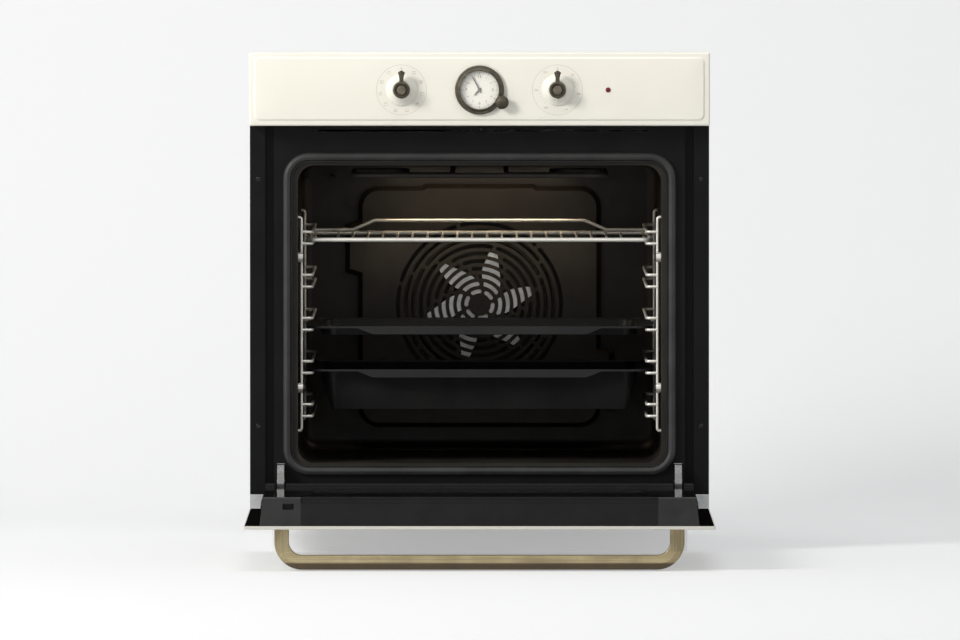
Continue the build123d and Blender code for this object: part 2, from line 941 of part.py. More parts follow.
def slot_faces():
    # rings of long slots, each ring turned a little from the one inside it
    faces = []
    span = 360 / slots_per_ring
    for k in range(ring_count):
        radius = first_ring + ring_pitch * k
        trim = degrees(asin((slot_width + slot_bridge) / 2 / radius))
        for slot in range(slots_per_ring):
            start = first_slot_start + slot_turn * k + span * slot
            faces.append(SlotArc(ring_arc(radius, start + trim, start + span - trim), slot_width))
    return faces


def fan_cover():
    front = Plane(origin=(0, cover_face, 0), x_dir=(1, 0, 0), z_dir=(0, -1, 0))
    outline = fan_cover_outline()
    tray = extrude(front * outline, -(cover_standoff - fit))
    tray = chamfer(tray.faces().sort_by(Axis.Y)[0].edges(), cover_slope)
    inner = extrude(front * offset(outline, -cover_sheet), -cover_standoff)
    even_slope = cover_slope - (2 - sqrt(2)) * cover_sheet
    inner = chamfer(inner.faces().sort_by(Axis.Y)[0].edges(), even_slope)
    tray -= Pos(0, cover_sheet, 0) * inner
    back = cavity_back - fit
    for side in (-1, 1):
        x0, x1 = sorted((side * (cover_half_width - ear_overlap), side * (cover_screw_x + ear_reach)))
        for height in cover_screw_heights:
            low = height - ear_reach
            tray += round_block(x0, x1, back - cover_sheet, back, low, low + 2 * ear_reach, ear_corner)
            hole = screw_radius + screw_clearance
            tray -= rod_y(side * cover_screw_x, back - cover_sheet - past, cavity_back, height, hole)
    centre = Plane(origin=(0, cover_face - past, fan_height), x_dir=(1, 0, 0), z_dir=(0, -1, 0))
    slots = [extrude(centre * face, -(cover_sheet + 2 * past)) for face in slot_faces()]
    return tray - slots


def cavity_screws():
    # four that hold the fan cover and four that hold the racks, all alike
    made = []
    for side in (-1, 1):
        for height in cover_screw_heights:
            x = side * cover_screw_x
            face = cavity_back - fit - cover_sheet
            head = rod_y(x, face - screw_head_length, face, height, screw_head_radius)
            made.append(head + rod_y(x, face, face + screw_length, height, screw_radius))
        for height in eyelet_heights:
            inner = rack_x - rack_wire / 2
            head = rod_x(inner - screw_head_length, inner, eyelet_y(), height, screw_head_radius)
            screw = head + rod_x(inner, inner + screw_length + rack_wire, eyelet_y(), height, screw_radius)
            made.append(screw if side > 0 else mirror(screw, about=Plane.YZ))
    return made


def side_rack():
    # the right-hand rack: two bent uprights, and for each level an upper and a lower guide wire
    radius = rack_wire / 2
    tip = cavity_half + upright_tip
    near, far = rack_ends()
    wires = []
    for y in (near, far):
        corners = [(tip, rack_bottom), (rack_x, rack_bottom), (rack_x, rack_top), (tip, rack_top)]
        wires.append(bent_rod([(x, y, z) for x, z in corners], upright_bend, radius))
    for level in range(level_count):
        low = first_level + level * level_pitch
        for z in (low, low + guide_gap):
            guide = [(rack_x, near, z), (rack_guide_x, near, z), (rack_guide_x, far, z), (rack_x, far, z)]
            wires.append(bent_rod(guide, guide_bend, radius))
    rack = wires[0] + wires[1:]
    for height in eyelet_heights:
        ring = rod_x(rack_x - radius, cavity_half - fit, eyelet_y(), height, eyelet_radius)
        hole = screw_radius + screw_clearance
        rack += ring - rod_x(rack_x - radius, cavity_half, eyelet_y(), height, hole)
    return rack


def level_seat(level):
    # the top of a level's lower guide wire
    return first_level + (level - 1) * level_pitch + rack_wire / 2


def wire_shelf():
    radius = shelf_wire / 2
    z = level_seat(level_count) + radius + seat_gap
    near = cavity_front + tray_set_back
    near_line = near + radius
    far_line = near + shelf_depth - radius
    half = shelf_half_width - radius
    loop = RectangleRounded(2 * half, far_line - near_line, shelf_corner).wire()
    path = Pos(0, (near_line + far_line) / 2, z) * loop
    frame = sweep(Plane(origin=path @ 0, z_dir=path % 0) * Circle(radius), path=path)
    for k in range(cross_count):
        x = (k - (cross_count - 1) / 2) * cross_pitch
        frame += rod_y(x, near_line, far_line, z, cross_wire / 2)
    y = far_line - shelf_corner / 2
    low = z + (shelf_wire + rail_wire) / 2 - rail_sink
    high = z + rail_rise
    slope_x = rail_half_width + rail_slope
    end_x = half - rail_wire / 2
    points = [
        (-end_x, y, low), (-slope_x, y, low), (-rail_half_width, y, high),
        (rail_half_width, y, high), (slope_x, y, low), (end_x, y, low),
    ]
    return frame + bent_rod(points, rail_bend, rail_wire / 2)


def tray(level, drop, taper):
    # a pressed pan hung on a flat rim, with a raised edge round the rim and a lip at the front
    seat = level_seat(level) + seat_gap
    near = cavity_front + tray_set_back
    rim_top = seat + tray_sheet
    centre = Pos(0, near + tray_depth / 2, 0)
    angle = degrees(atan2(taper, drop))

    def layer(inset, z, height, slope=0.0):
        face = RectangleRounded(
            2 * (tray_half_width - inset), tray_depth - 2 * inset, tray_corner - min(inset, tray_sheet)
        )
        return extrude(centre * Pos(0, 0, z) * face, height, taper=slope)

    wall = tray_rim + tray_sheet
    pan = layer(0, seat, tray_sheet) + layer(tray_rim, seat, -drop, angle)
    pan -= layer(wall, seat, -(drop - tray_sheet), angle)
    pan -= layer(wall, seat, tray_sheet + past)
    edge = layer(0, rim_top, rim_edge - tray_sheet) - layer(tray_sheet, rim_top, rim_edge)
    lip_top = seat + tray_sheet / 2
    lip_bottom = rim_top - lip_drop
    outline = [
        (-lip_half_width, lip_top), (-lip_half_bottom, lip_bottom), (lip_half_bottom, lip_bottom),
        (lip_half_width, lip_top),
    ]
    return pan + edge + plate_xz(outline, near, near + tray_sheet)


def insulation():
    # a blanket wrapped round the cavity and a pad behind it, with room for what passes through
    half = cavity_half + cavity_wall + fit
    top = cavity_top + cavity_wall + fit
    low = cavity_floor - cavity_wall - wool_gap_below
    front = frame_back + wool_front_gap
    back = cavity_back + cavity_wall
    t = wool_thickness
    gap = wool_clearance
    outside = half + t + past
    wrap = block(-half - t, half + t, front, back, low - t, top + t)
    wrap -= block(-half, half, front - past, back + past, low, top)
    pad = block(-half - t, half + t, back + fit, back + fit + t, low - t, top + t)
    pad -= rod_y(0, back, back + t + past, fan_height, well_radius + cavity_wall + fit)
    receiver = arm_width / 2 + arm_play + receiver_sheet
    for side in (-1, 1):
        x0, x1 = sorted((side * (hinge_x - receiver - gap), side * outside))
        wrap -= block(
            x0, x1, front - past, receiver_back() + gap, low - t - past,
            hinge_height + arm_top + arm_play + receiver_sheet + gap,
        )
        x0, x1 = sorted((side * (half - past), side * outside))
        for height in eyelet_heights:
            wrap -= rod_x(x0, x1, eyelet_y(), height, screw_radius + gap)
        for y in rack_ends():
            for height in (rack_bottom, rack_top):
                wrap -= rod_x(x0, x1, y, height, rack_wire / 2 + gap)
        for height in cover_screw_heights:
            pad -= rod_y(side * cover_screw_x, back, back + fit + t + past, height, screw_radius + gap)
    cup = lamp_radius + lamp_cup_wall + lamp_clearance + gap
    wrap -= rod_z(0, lamp_y, cavity_top, top + t + past, cup)
    through = back + fit + t + past
    for x in (-grill_lead_x, grill_lead_x):
        pad -= rod_y(x, back - past, through, cavity_top - grill_drop, tube_radius + gap)
    pad -= rod_y(sensor_x, back - past, through, sensor_height, sensor_radius + gap)
    return wrap, pad


def side_panel():
    x1 = carcass_width / 2
    x0 = x1 - steel
    top = carcass_height - steel
    panel = block(x0, x1, frame_back + channel_depth, rear, steel, top)
    panel += block(x1 - carcass_flange, x1, rear - 2 * steel, rear - steel, steel, top)
    for k in range(side_vents):
        z = top - side_vent_drop + vent_pitch * k
        y = rear - side_vent_inset
        panel -= block(x0 - past, x1 + past, y - side_vent_length, y, z, z + vent_opening)
    return panel


def top_cover():
    half = carcass_width / 2
    cover = block(-half, half, frame_back, rear, carcass_height - steel, carcass_height)
    for k in range(top_vents):
        y = rear - side_vent_inset - vent_pitch * k
        cover -= block(
            -vent_half_length, vent_half_length, y, y + vent_opening,
            carcass_height - steel - past, carcass_height + past,
        )
    return cover


def rear_panel():
    half = carcass_width / 2 - steel
    front = rear - steel
    panel = block(-half, half, front, rear, steel, carcass_height - steel)
    motor_low = fan_height - (rear_vents * vent_pitch - vent_opening) / 2
    for k in range(rear_vents):
        for x, low in ((blower_vent_x, carcass_height - rear_vent_drop), (0, motor_low)):
            z = low + vent_pitch * k
            x0 = x - vent_half_length
            panel -= block(x0, x0 + 2 * vent_half_length, front - past, rear + past, z, z + vent_opening)
    return panel - rod_y(gland_x, front - past, rear + past, gland_height, gland_radius + gland_clearance)


def terminal_box():
    back = rear - steel
    front = back - terminal_depth
    t = terminal_wall
    w = terminal_half_width
    h = terminal_half_height
    z = gland_height
    box = block(gland_x - w, gland_x + w, front, back, z - h, z + h)
    box -= block(gland_x - w + t, gland_x + w - t, front + t, back - t, z - h + t, z + h - t)
    box += rod_y(gland_x, back - t, rear + gland_reach, z, gland_radius)
    box -= rod_y(gland_x, back - t - past, rear + gland_reach + past, z, cord_radius)
    half = terminal_block_height / 2
    for k in range(terminal_blocks):
        x = gland_x - terminal_block_first + terminal_block_pitch * k
        y1 = front + t + terminal_block_depth
        box += block(x, x + terminal_block_width, front + t / 2, y1, z - half, z + half)
    return box


def base_pan():
    half = carcass_width / 2
    wing = frame_width / 2
    pan = block(-half, half, frame_back, rear, 0, steel)
    return pan + block(-wing, wing, frame_front, frame_back, 0, frame_bottom - fit)


def air_duct():
    # a flat channel from the blower's box to the slot under the control panel
    t = steel
    w = duct_half_width
    z0 = duct_floor
    z1 = duct_floor + duct_height
    y1 = frame_back + duct_length
    tunnel = block(-w, w, frame_back, y1, z0, z1)
    tunnel -= block(-w + t, w - t, frame_back - past, y1 + past, z0 + t, z1 - t)
    half = vent_slot_break / 2
    notch = (frame_back - past, frame_back + switch_case_depth + past)
    tunnel -= block(plunger_x - half, plunger_x + half, *notch, z0 + t, z1 + past)
    x0 = -blower_left
    x1 = -blower_left + blower_length
    span = 2 * (blower_radius + blower_clearance + t)
    y2 = y1 + span
    z2 = z0 + span
    box = block(x0, x1, y1, y2, z0, z2)
    box -= block(x0 + t, x1 - t, y1 + t, y2 - t, z0 + t, z2 - t)
    box -= block(x0 + t, x1 - t, y1 - past, y1 + t + past, z0 + t, z1 - t)
    shell = tunnel + box + block(x1, w, y1, y1 + t, z0, z1) + block(-w, x0, y1, y1 + t, z0, z1)
    for k in range(blower_slots):
        y = y1 + blower_slot_margin + blower_slot_pitch * k
        shell -= block(
            x0 + blower_slot_margin, x1 - blower_slot_margin, y, y + blower_slot_width,
            z2 - t - past, z2 + past,
        )
    y, z = blower_axis()
    return shell - rod_x(x0 - past, x1 + past, y, z, shaft_radius + shaft_clearance)


def blower_axis():
    reach = blower_radius + blower_clearance + steel
    return frame_back + duct_length + reach, duct_floor + reach


def blower_wheel():
    y, z = blower_axis()
    right = -blower_left + blower_length
    x0 = -blower_left + steel + blower_end_gap
    x1 = right - steel - blower_end_gap
    middle = (x0 + x1) / 2
    disc = blower_disc
    wheel = rod_x(x0, x0 + disc, y, z, blower_radius) + rod_x(x1 - disc, x1, y, z, blower_radius)
    divider = rod_x(middle - disc / 2, middle + disc / 2, y, z, blower_radius)
    wheel += divider - rod_x(middle - disc, middle + disc, y, z, blower_middle_bore)
    blade_radius = blower_radius - blower_blade_depth / 2 - blower_blade_sheet / 2
    for k in range(blower_blades):
        blade = Rot(blower_blade_pitch, 0, 0) * Box(x1 - x0, blower_blade_depth, blower_blade_sheet)
        wheel += Pos(middle, y, z) * Rot(360 * k / blower_blades, 0, 0) * Pos(0, blade_radius, 0) * blade
    return wheel + rod_x(-blower_left - blower_shaft_tail, right + blower_shaft_end, y, z, shaft_radius)


def shaded_pole_motor(depth_of_stack):
    # a laminated stack with a coil on one limb, its shaft bore along Z, and its face at z = 0
    half = stack_size / 2
    middle = motor_post + depth_of_stack / 2
    stack = Pos(0, stack_tail / 2, middle) * Box(stack_size, stack_size + stack_tail, depth_of_stack)
    winding = Box(coil_length, coil_width, depth_of_stack + 2 * coil_overhang)
    coil = Pos(0, half, middle) * fillet(winding.edges().filter_by(Axis.X), coil_round)
    posts = [
        Pos(x, y, motor_post / 2) * Cylinder(motor_post_radius, motor_post)
        for x in (-motor_post_x, motor_post_x) for y in (-motor_post_y, motor_post_y)
    ]
    top = motor_post + depth_of_stack
    bearing = Pos(0, 0, top + bearing_length / 2) * Cylinder(bearing_radius, bearing_length)
    return stack + coil + posts + bearing


def fan_motor():
    face = motor_face()
    plate = rod_y(0, face, face + motor_plate, fan_height, motor_plate_radius)
    body = Pos(0, face + motor_plate, fan_height) * Rot(-90, 0, 0) * shaded_pole_motor(stack_depth)
    length = motor_plate + motor_post + stack_depth + bearing_length
    bore = fan_shaft_radius + shaft_clearance
    return plate + body - rod_y(0, face - past, face + length + past, fan_height, bore)


def motor_face():
    return cavity_back + well_depth + cavity_wall


def blower_motor():
    y, z = blower_axis()
    face = -blower_left
    body = Pos(face, y, z) * Rot(0, -90, 0) * Rot(0, 0, -90) * shaded_pole_motor(blower_stack_depth)
    length = motor_post + blower_stack_depth + bearing_length
    return body - rod_x(face - length - past, face + past, y, z, shaft_radius + shaft_clearance)


def fan_arm(base):
    # one curved arm of the stamped wheel as X and Z: out along one side, back along the other
    near = [(fan_arm_root, base + fan_arm_sides[0][0])]
    far = [(fan_arm_root, base + fan_arm_sides[0][1])]
    for k, (start, end) in enumerate(fan_arm_sides):
        near.append((first_ring + ring_pitch * (k + 1), base + start))
        far.append((first_ring + ring_pitch * (k + 1), base + end))
    near.append((fan_radius, base + fan_arm_tip[0]))
    far.append((fan_radius, base + fan_arm_tip[1]))
    return [(r * cos(radians(a)), fan_height + r * sin(radians(a))) for r, a in near + far[::-1]]


def convection_fan():
    front = fan_front()
    disc_back = front + fan_sheet
    wheel = rod_y(0, front, disc_back, fan_height, fan_middle_radius)
    blade = Rot(0, -fan_blade_pitch, 0) * Box(fan_blade_length, fan_blade_depth + past, fan_blade_sheet)
    middle = Pos(0, disc_back + (fan_blade_depth - past) / 2, fan_height)
    for k in range(fan_arms):
        base = 360 * k / fan_arms
        wheel += plate_xz(fan_arm(base), front, disc_back)
        wheel += middle * Rot(0, -base - fan_blade_turn, 0) * Pos(fan_blade_middle, 0, 0) * blade
    hub = rod_y(0, front, front + fan_hub_length, fan_height, fan_hub_radius)
    nut = rod_y(0, front - fan_nut_length, front, fan_height, fan_nut_radius)
    back = motor_face() + motor_plate + motor_post + stack_depth
    return wheel + hub + nut + rod_y(0, front + fan_hub_length, back, fan_height, fan_shaft_radius)


def fan_front():
    return cover_face + cover_sheet + fan_gap


def ring_element():
    # round the fan along one radius, a hairpin, and back along the other, both ends led out to the rear
    y = fan_front() + ring_behind_fan
    back = motor_face() + element_tail

    def at(radius, heading):
        angle = radians(heading)
        return Vector(radius * cos(angle), y, fan_height + radius * sin(angle))

    def arc(radius, start, end):
        return ThreePointArc(at(radius, start), at(radius, (start + end) / 2), at(radius, end))

    def lead(radius, heading):
        # a quarter turn between the ring and a straight run to the rear
        angle = radians(heading)
        along = Vector(-sin(angle), 0, cos(angle))
        foot = at(radius, heading)
        centre = foot + Vector(0, ring_bend, 0)
        corner = centre - along * ring_bend
        middle = centre - (along + Vector(0, 1, 0)) * (ring_bend * cos(radians(45)))
        end = Vector(corner.X, back, corner.Z)
        return Line(end, corner), ThreePointArc(corner, middle, foot)

    bulge = (ring_outer - ring_inner) / 2
    turn = radians(ring_turn)
    tip = at(ring_inner + bulge, ring_turn) + Vector(-sin(turn), 0, cos(turn)) * bulge
    hairpin = ThreePointArc(at(ring_inner, ring_turn), tip, at(ring_outer, ring_turn))
    first, first_bend = lead(ring_inner, ring_start)
    last, last_bend = lead(ring_outer, ring_finish)
    path = Wire([
        *first.edges(), *first_bend.edges(), *arc(ring_inner, ring_start, ring_turn).edges(),
        *hairpin.edges(), *arc(ring_outer, ring_turn, ring_finish).edges(),
        *last_bend.edges(), *last.edges(),
    ])
    start = first @ 0
    return sweep(Plane(origin=start, z_dir=first % 0) * Circle(tube_radius), path=path)


def bottom_element():
    z = cavity_floor - cavity_wall - tube_radius - fit
    near = cavity_front + bottom_front
    far = cavity_back - bottom_rear_gap
    x = bottom_lead_x
    middle = x + bottom_loop
    outer = middle + bottom_loop
    turn_near = near + bottom_loop_start
    turn_far = far - bottom_loop_start
    right = [
        (x, far, z), (x, turn_near, z), (middle, turn_near, z), (middle, turn_far, z),
        (outer, turn_far, z), (outer, near, z),
    ]
    return bent_rod([(-px, y, z) for px, y, z in right] + right[::-1], bottom_bend, tube_radius)


def grill_element():
    z = cavity_top - grill_drop
    near = cavity_front + grill_front
    far = near + grill_depth
    x = grill_lead_x
    middle = x + grill_loop
    turn_near = near + grill_loop_start
    right = [
        (x, cavity_back + element_tail, z), (x, turn_near, z), (middle, turn_near, z), (middle, far, z),
        (grill_half_width, far, z), (grill_half_width, near, z),
    ]
    return bent_rod([(-px, y, z) for px, y, z in right] + right[::-1], grill_bend, tube_radius)


def lamp_holder():
    z0 = cavity_top + cavity_wall
    z1 = z0 + lamp_holder_height
    bore = lamp_radius + lamp_clearance
    cup = rod_z(0, lamp_y, z0, z1, bore + lamp_cup_wall)
    cup -= rod_z(0, lamp_y, z0, z1 - lamp_cup_wall, bore)
    high = z1 - lamp_socket_top
    return cup + rod_z(0, lamp_y, high - lamp_socket_length, high, lamp_socket_radius)


def lamp_glass():
    # a shallow dome with a skirt that reaches up into its holder
    z0 = cavity_top - lamp_dome
    z1 = cavity_top + lamp_skirt
    dome = rod_z(0, lamp_y, z0, z1, lamp_radius)
    dome = fillet(dome.faces().sort_by(Axis.Z)[0].edges(), lamp_round)
    hollow = rod_z(0, lamp_y, z0 + lamp_wall, z1 + past, lamp_radius - lamp_wall)
    return dome - fillet(hollow.faces().sort_by(Axis.Z)[0].edges(), lamp_round - lamp_wall)


def temperature_sensor():
    joint = cavity_back - sensor_stem_start
    bulb = rod_y(sensor_x, cavity_back - sensor_length, joint, sensor_height, sensor_radius)
    end = cavity_back + cavity_wall + sensor_stem_tail
    return bulb + rod_y(sensor_x, joint, end, sensor_height, sensor_stem_radius)


def door_front():
    half = door_width / 2
    t = door_sheet
    pan = block(-half, half, depth(0), depth(door_rim), door_bottom, door_top)
    pan = fillet(pan.edges().filter_by(Axis.Y), door_corner)
    pan = fillet(pan.faces().sort_by(Axis.Y)[0].edges(), door_edge_round)
    pan -= block(-half + t, half - t, depth(t), depth(door_rim + past), door_bottom + t, door_top - t)
    pan -= round_block(
        -window_half_width, window_half_width, depth(-past), depth(t + past), window_bottom, window_top,
        window_corner,
    )
    hole = handle_screw_radius + screw_clearance
    for side in (-1, 1):
        pan -= rod_y(side * handle_leg_x(), depth(-past), depth(t + past), handle_height, hole)
    return pan


def handle_leg_x():
    return handle_half_width - handle_thickness / 2


def outer_glass():
    w = outer_glass_half_width
    back = depth(door_sheet + outer_glass_thickness)
    return round_block(-w, w, depth(door_sheet), back, outer_glass_bottom, outer_glass_top, glass_corner)


def middle_glass():
    w = outer_glass_half_width
    front = depth(middle_glass_depth)
    back = front + middle_glass_thickness
    return round_block(-w, w, front, back, bottom_profile_top, top_profile_bottom, glass_corner)


def inner_glass():
    w = structure_half_width - glass_inset
    front = depth(inner_glass_depth)
    glass = round_block(
        -w, w, front, front + inner_glass_thickness, bottom_profile_top + glass_gap,
        top_profile_bottom - glass_gap, glass_corner,
    )
    return chamfer(glass.faces().sort_by(Axis.Y)[-1].edges(), glass_bevel)


def side_profile():
    # the right-hand one: a wide foot in the door's pan and a channel that carries the inner glass
    x0 = hinge_x + hinge_case_width / 2 + profile_clearance
    x1 = structure_half_width - glass_inset
    foot_x1 = door_width / 2 - door_sheet - fit
    low = bottom_profile_top
    high = top_profile_bottom
    wall = profile_wall
    face = inner_glass_depth - glass_gap
    foot = block(x0, foot_x1, depth(door_sheet), depth(door_rim), structure_bottom, structure_top)
    channel = block(x0, x1, depth(door_rim), depth(face), low, high)
    hollow = block(x0 - past, x1 - wall, depth(door_rim), depth(face - wall), low - past, high + past)
    return foot + (channel - hollow)


def bottom_profile():
    w = structure_half_width - glass_inset
    t = profile_wall
    top = bottom_profile_top
    glass_face = inner_glass_depth + inner_glass_thickness
    body = block(-w, w, depth(door_rim), depth(glass_face), structure_bottom, top)
    body += block(-w, w, depth(door_rim), depth(bottom_lip_depth), structure_bottom, bottom_lip_top)
    edges = body.faces().sort_by(Axis.Y)[-1].edges().filter_by(Axis.X)
    body = chamfer(edges, profile_bevel)
    inner = w - 2 * hinge_band()
    body -= block(
        -inner, inner, depth(door_rim + t), depth(inner_glass_depth - t), structure_bottom + t, top - t
    )
    half = hinge_case_width / 2 + fit
    for side in (-1, 1):
        x = side * hinge_x
        body -= block(
            x - half, x + half, depth(door_rim + t), depth(bottom_lip_depth + past),
            structure_bottom - past, top + past,
        )
    return body


def hinge_band():
    return structure_half_width - hinge_x + hinge_case_width / 2


def top_profile():
    # the bar across the door's free edge, between the corner caps, with a stepped inner side
    w = structure_half_width - cap_width
    t = profile_wall
    low = top_profile_bottom
    high = structure_top
    rim = depth(door_rim)
    body = block(-w, w, rim, depth(inner_glass_depth + inner_glass_thickness), low, high)
    step = depth(top_profile_depth - top_step_depth)
    body += block(-w, w, rim, step, low + top_step_low, high - top_step_high)
    body += block(-w, w, rim, depth(top_profile_depth), low + top_rib_low, high - top_rib_high)
    return body - block(
        -w - past, w + past, depth(door_rim + t), depth(inner_glass_depth - t), low + t, high - t
    )


def door_cap():
    # the right-hand corner cap, narrower away from the door's pan
    x0 = structure_half_width - cap_width
    x1 = structure_half_width
    low = top_profile_bottom - cap_overhang
    outline = [
        (x0, depth(door_rim)), (x1, depth(door_rim)), (x1 - cap_taper, depth(top_profile_depth)),
        (x0, depth(top_profile_depth)),
    ]
    cap = extrude(Pos(0, 0, low) * make_face(Polyline(*outline, close=True)), structure_top - low)
    glass_face = inner_glass_depth + inner_glass_thickness
    cap -= block(
        x0 - past, x1 + past, depth(door_rim), depth(glass_face + glass_gap), low - past, top_profile_bottom
    )
    edges = cap.faces().sort_by(Axis.Y)[-1].edges().filter_by(Axis.X)
    return fillet(edges, profile_bevel)


def door_caps():
    right = door_cap()
    left = mirror(right, about=Plane.YZ)
    half_w = cap_slot_width / 2
    half_h = cap_slot_height / 2
    above = structure_top + past
    slot_x = structure_half_width - cap_slot_inset
    mark_x = structure_half_width - cap_mark_inset
    left -= block(
        -slot_x - half_w, -slot_x + half_w, depth(cap_slot_depth - half_h),
        depth(cap_slot_depth + half_h), structure_top - cap_slot_reach, above,
    )
    right -= block(
        mark_x - half_w, mark_x + half_w, depth(cap_mark_depth - half_h),
        depth(cap_mark_depth + half_h), structure_top - cap_mark_sink, above,
    )
    return left, right


def handle():
    x = handle_leg_x()
    out = -(handle_projection - handle_thickness / 2)
    z = handle_height
    corners = [(-x, depth(0), z), (-x, depth(out), z), (x, depth(out), z), (x, depth(0), z)]
    path = FilletPolyline(*corners, radius=handle_bend)
    bar = sweep(Plane(origin=path @ 0, x_dir=(1, 0, 0), z_dir=path % 0) * handle_section(), path=path)
    bore = handle_screw_radius + screw_clearance
    for side in (-1, 1):
        bar -= rod_y(side * x, depth(-handle_screw_length - past), depth(past), z, bore)
    return bar


def handle_section():
    # flat towards the door, parallel up to a shoulder, then tapered to a narrower nose
    inner = handle_thickness / 2
    w = handle_height_section / 2
    shoulder = inner - handle_shoulder
    nose = handle_nose / 2
    upper = [(inner, w), (shoulder, w), (-inner, nose)]
    outline = upper + [(px, -pz) for px, pz in reversed(upper)]
    face = make_face(Polyline(*outline, close=True))
    return fillet(face.vertices(), handle_edge_round)


def handle_screws():
    made = []
    seat = door_sheet
    for side in (-1, 1):
        x = side * handle_leg_x()
        head_back = depth(seat + handle_screw_head_length)
        head = rod_y(x, depth(seat), head_back, handle_height, handle_screw_head)
        shank = rod_y(x, depth(-handle_screw_length), depth(seat), handle_height, handle_screw_radius)
        made.append(head + shank)
    return made


def hinge_case():
    # the right-hand one: a channel in the door, open towards the cavity, with a bore for the pin
    half = hinge_case_width / 2
    t = hinge_case_sheet
    back = door_rim + profile_wall + shaft_clearance
    face = inner_glass_depth - glass_gap
    low = structure_bottom
    high = low + hinge_case_length
    x0 = hinge_x - half
    x1 = hinge_x + half
    case = block(x0, x1, depth(back), depth(face), low, high)
    case -= block(x0 + t, x1 - t, depth(back + t), depth(face + past), low - past, high - t)
    return case - rod_x(x0 - past, x1 + past, hinge_y, hinge_height, pin_radius + pin_seat)


def hinge_pin():
    half = hinge_case_width / 2
    return rod_x(hinge_x - half, hinge_x + half, hinge_y, hinge_height, pin_radius)


def hinge_spring():
    z0 = bottom_profile_top + spring_start
    z1 = structure_bottom + hinge_case_length - hinge_case_sheet
    y = depth(hinge_depth + spring_offset)
    return rod_z(hinge_x, y, z0, z1, spring_radius) - rod_z(hinge_x, y, z0, z1, spring_bore)


def hinge_arm():
    # the right-hand one: a boss on the pin, a bowed neck, and a tail in its receiver
    tail = frame_back - hinge_y + arm_tail
    frame_gap = frame_front - hinge_y
    outline = [
        (-5.2, 3), (-1, 20), (5, 38), (12, arm_top), (tail, arm_top), (tail, arm_bottom),
        (frame_gap - 4, arm_bottom), (14, 17), (6, 2.5), (0, -4),
    ]
    points = [(hinge_y + y, hinge_height + z) for y, z in outline]
    arm = plate_yz(points, hinge_x - arm_width / 2, hinge_x + arm_width / 2)
    arm += rod_x(hinge_x - arm_width / 2, hinge_x + arm_width / 2, hinge_y, hinge_height, arm_boss_radius)
    return arm - rod_x(
        hinge_x - arm_width, hinge_x + arm_width, hinge_y, hinge_height, pin_radius + pin_clearance
    )


def hinge_receiver():
    t = receiver_sheet
    play = arm_width / 2 + arm_play
    low = hinge_height + arm_bottom
    high = hinge_height + arm_top + arm_play
    y1 = receiver_back()
    box = block(hinge_x - play - t, hinge_x + play + t, frame_back, y1, low - t, high + t)
    return box - block(hinge_x - play, hinge_x + play, frame_back - past, y1 + past, low, high)


def receiver_back():
    return frame_back + arm_tail + 2 * arm_play


def write_parts():
    save("control_panel", control_panel())
    save("front_frame", front_frame())
    save("niche_spacers", *niche_spacers())
    save("control_bracket", control_bracket())
    save("function_switch", switch(-knob_spacing / 2, switch_body))
    save("thermostat", switch(knob_spacing / 2, thermostat_body))
    for name, x in (("left_knob", -knob_spacing / 2), ("right_knob", knob_spacing / 2)):
        save(name, knob(x))
        save(f"{name}_skirt", knob_skirt(x))
    housing, dial, glass, bezel = clock_parts()
    save("clock_housing", housing)
    save("clock_dial", dial)
    save("clock_glass", glass)
    save("clock_bezel", bezel)
    hour_bore = arbor_radius + arbor_clearance
    hour_arbor = arbor_radius + arbor_wall + arbor_clearance
    hour = (hour_length, hour_tail, hour_width, hour_angle, hour_hand_lift)
    minute = (minute_length, minute_tail, minute_width, minute_angle, minute_hand_lift)
    save("hour_hand", hand(*hour, hour_arbor, hour_bore))
    save("minute_hand", hand(*minute, arbor_radius, 0))
    save("clock_knob", clock_knob())
    save("indicator_lamp", indicator_lamp())
    save("door_switch", door_switch())
    save("door_switch_plunger", plunger())
    save("cavity", cavity())
    save("door_gasket", gasket())
    save("insulation", *insulation())
    save("side_panels", *both_sides(side_panel()))
    save("top_cover", top_cover())
    save("rear_panel", rear_panel())
    save("base_pan", base_pan())
    save("terminal_box", terminal_box())
    save("air_duct", air_duct())
    save("blower_wheel", blower_wheel())
    save("blower_motor", blower_motor())
    save("fan_cover", fan_cover())
    save("cavity_screws", *cavity_screws())
    save("convection_fan", convection_fan())
    save("fan_motor", fan_motor())
    save("ring_element", ring_element())
    save("grill_element", grill_element())
    save("bottom_element", bottom_element())
    save("lamp_holder", lamp_holder())
    save("lamp_glass", lamp_glass())
    save("temperature_sensor", temperature_sensor())
    save("side_racks", *both_sides(side_rack()))
    save("wire_shelf", wire_shelf())
    save("shallow_tray", tray(3, shallow_drop, shallow_drop * deep_taper / deep_drop))
    save("deep_tray", tray(2, deep_drop, deep_taper))
    save("hinge_arms", *both_sides(hinge_arm()))
    save("hinge_receivers", *both_sides(hinge_receiver()))


def write_door():
    save_door("door_front", door_front())
    save_door("door_outer_glass", outer_glass())
    save_door("door_middle_glass", middle_glass())
    save_door("door_inner_glass", inner_glass())
    save_door("door_side_profiles", *both_sides(side_profile()))
    save_door("door_bottom_profile", bottom_profile())
    save_door("door_top_profile", top_profile())
    save_door("door_caps", *door_caps())
    save_door("handle", handle())
    save_door("handle_screws", *handle_screws())
    save_door("hinge_cases", *both_sides(hinge_case()))
    save_door("hinge_pins", *both_sides(hinge_pin()))
    save_door("hinge_springs", *both_sides(hinge_spring()))


write_parts()
write_door()
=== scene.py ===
# Built-in oven: camera, stage, finishes and the fine pieces that the CAD keeps plain.
import json
import math

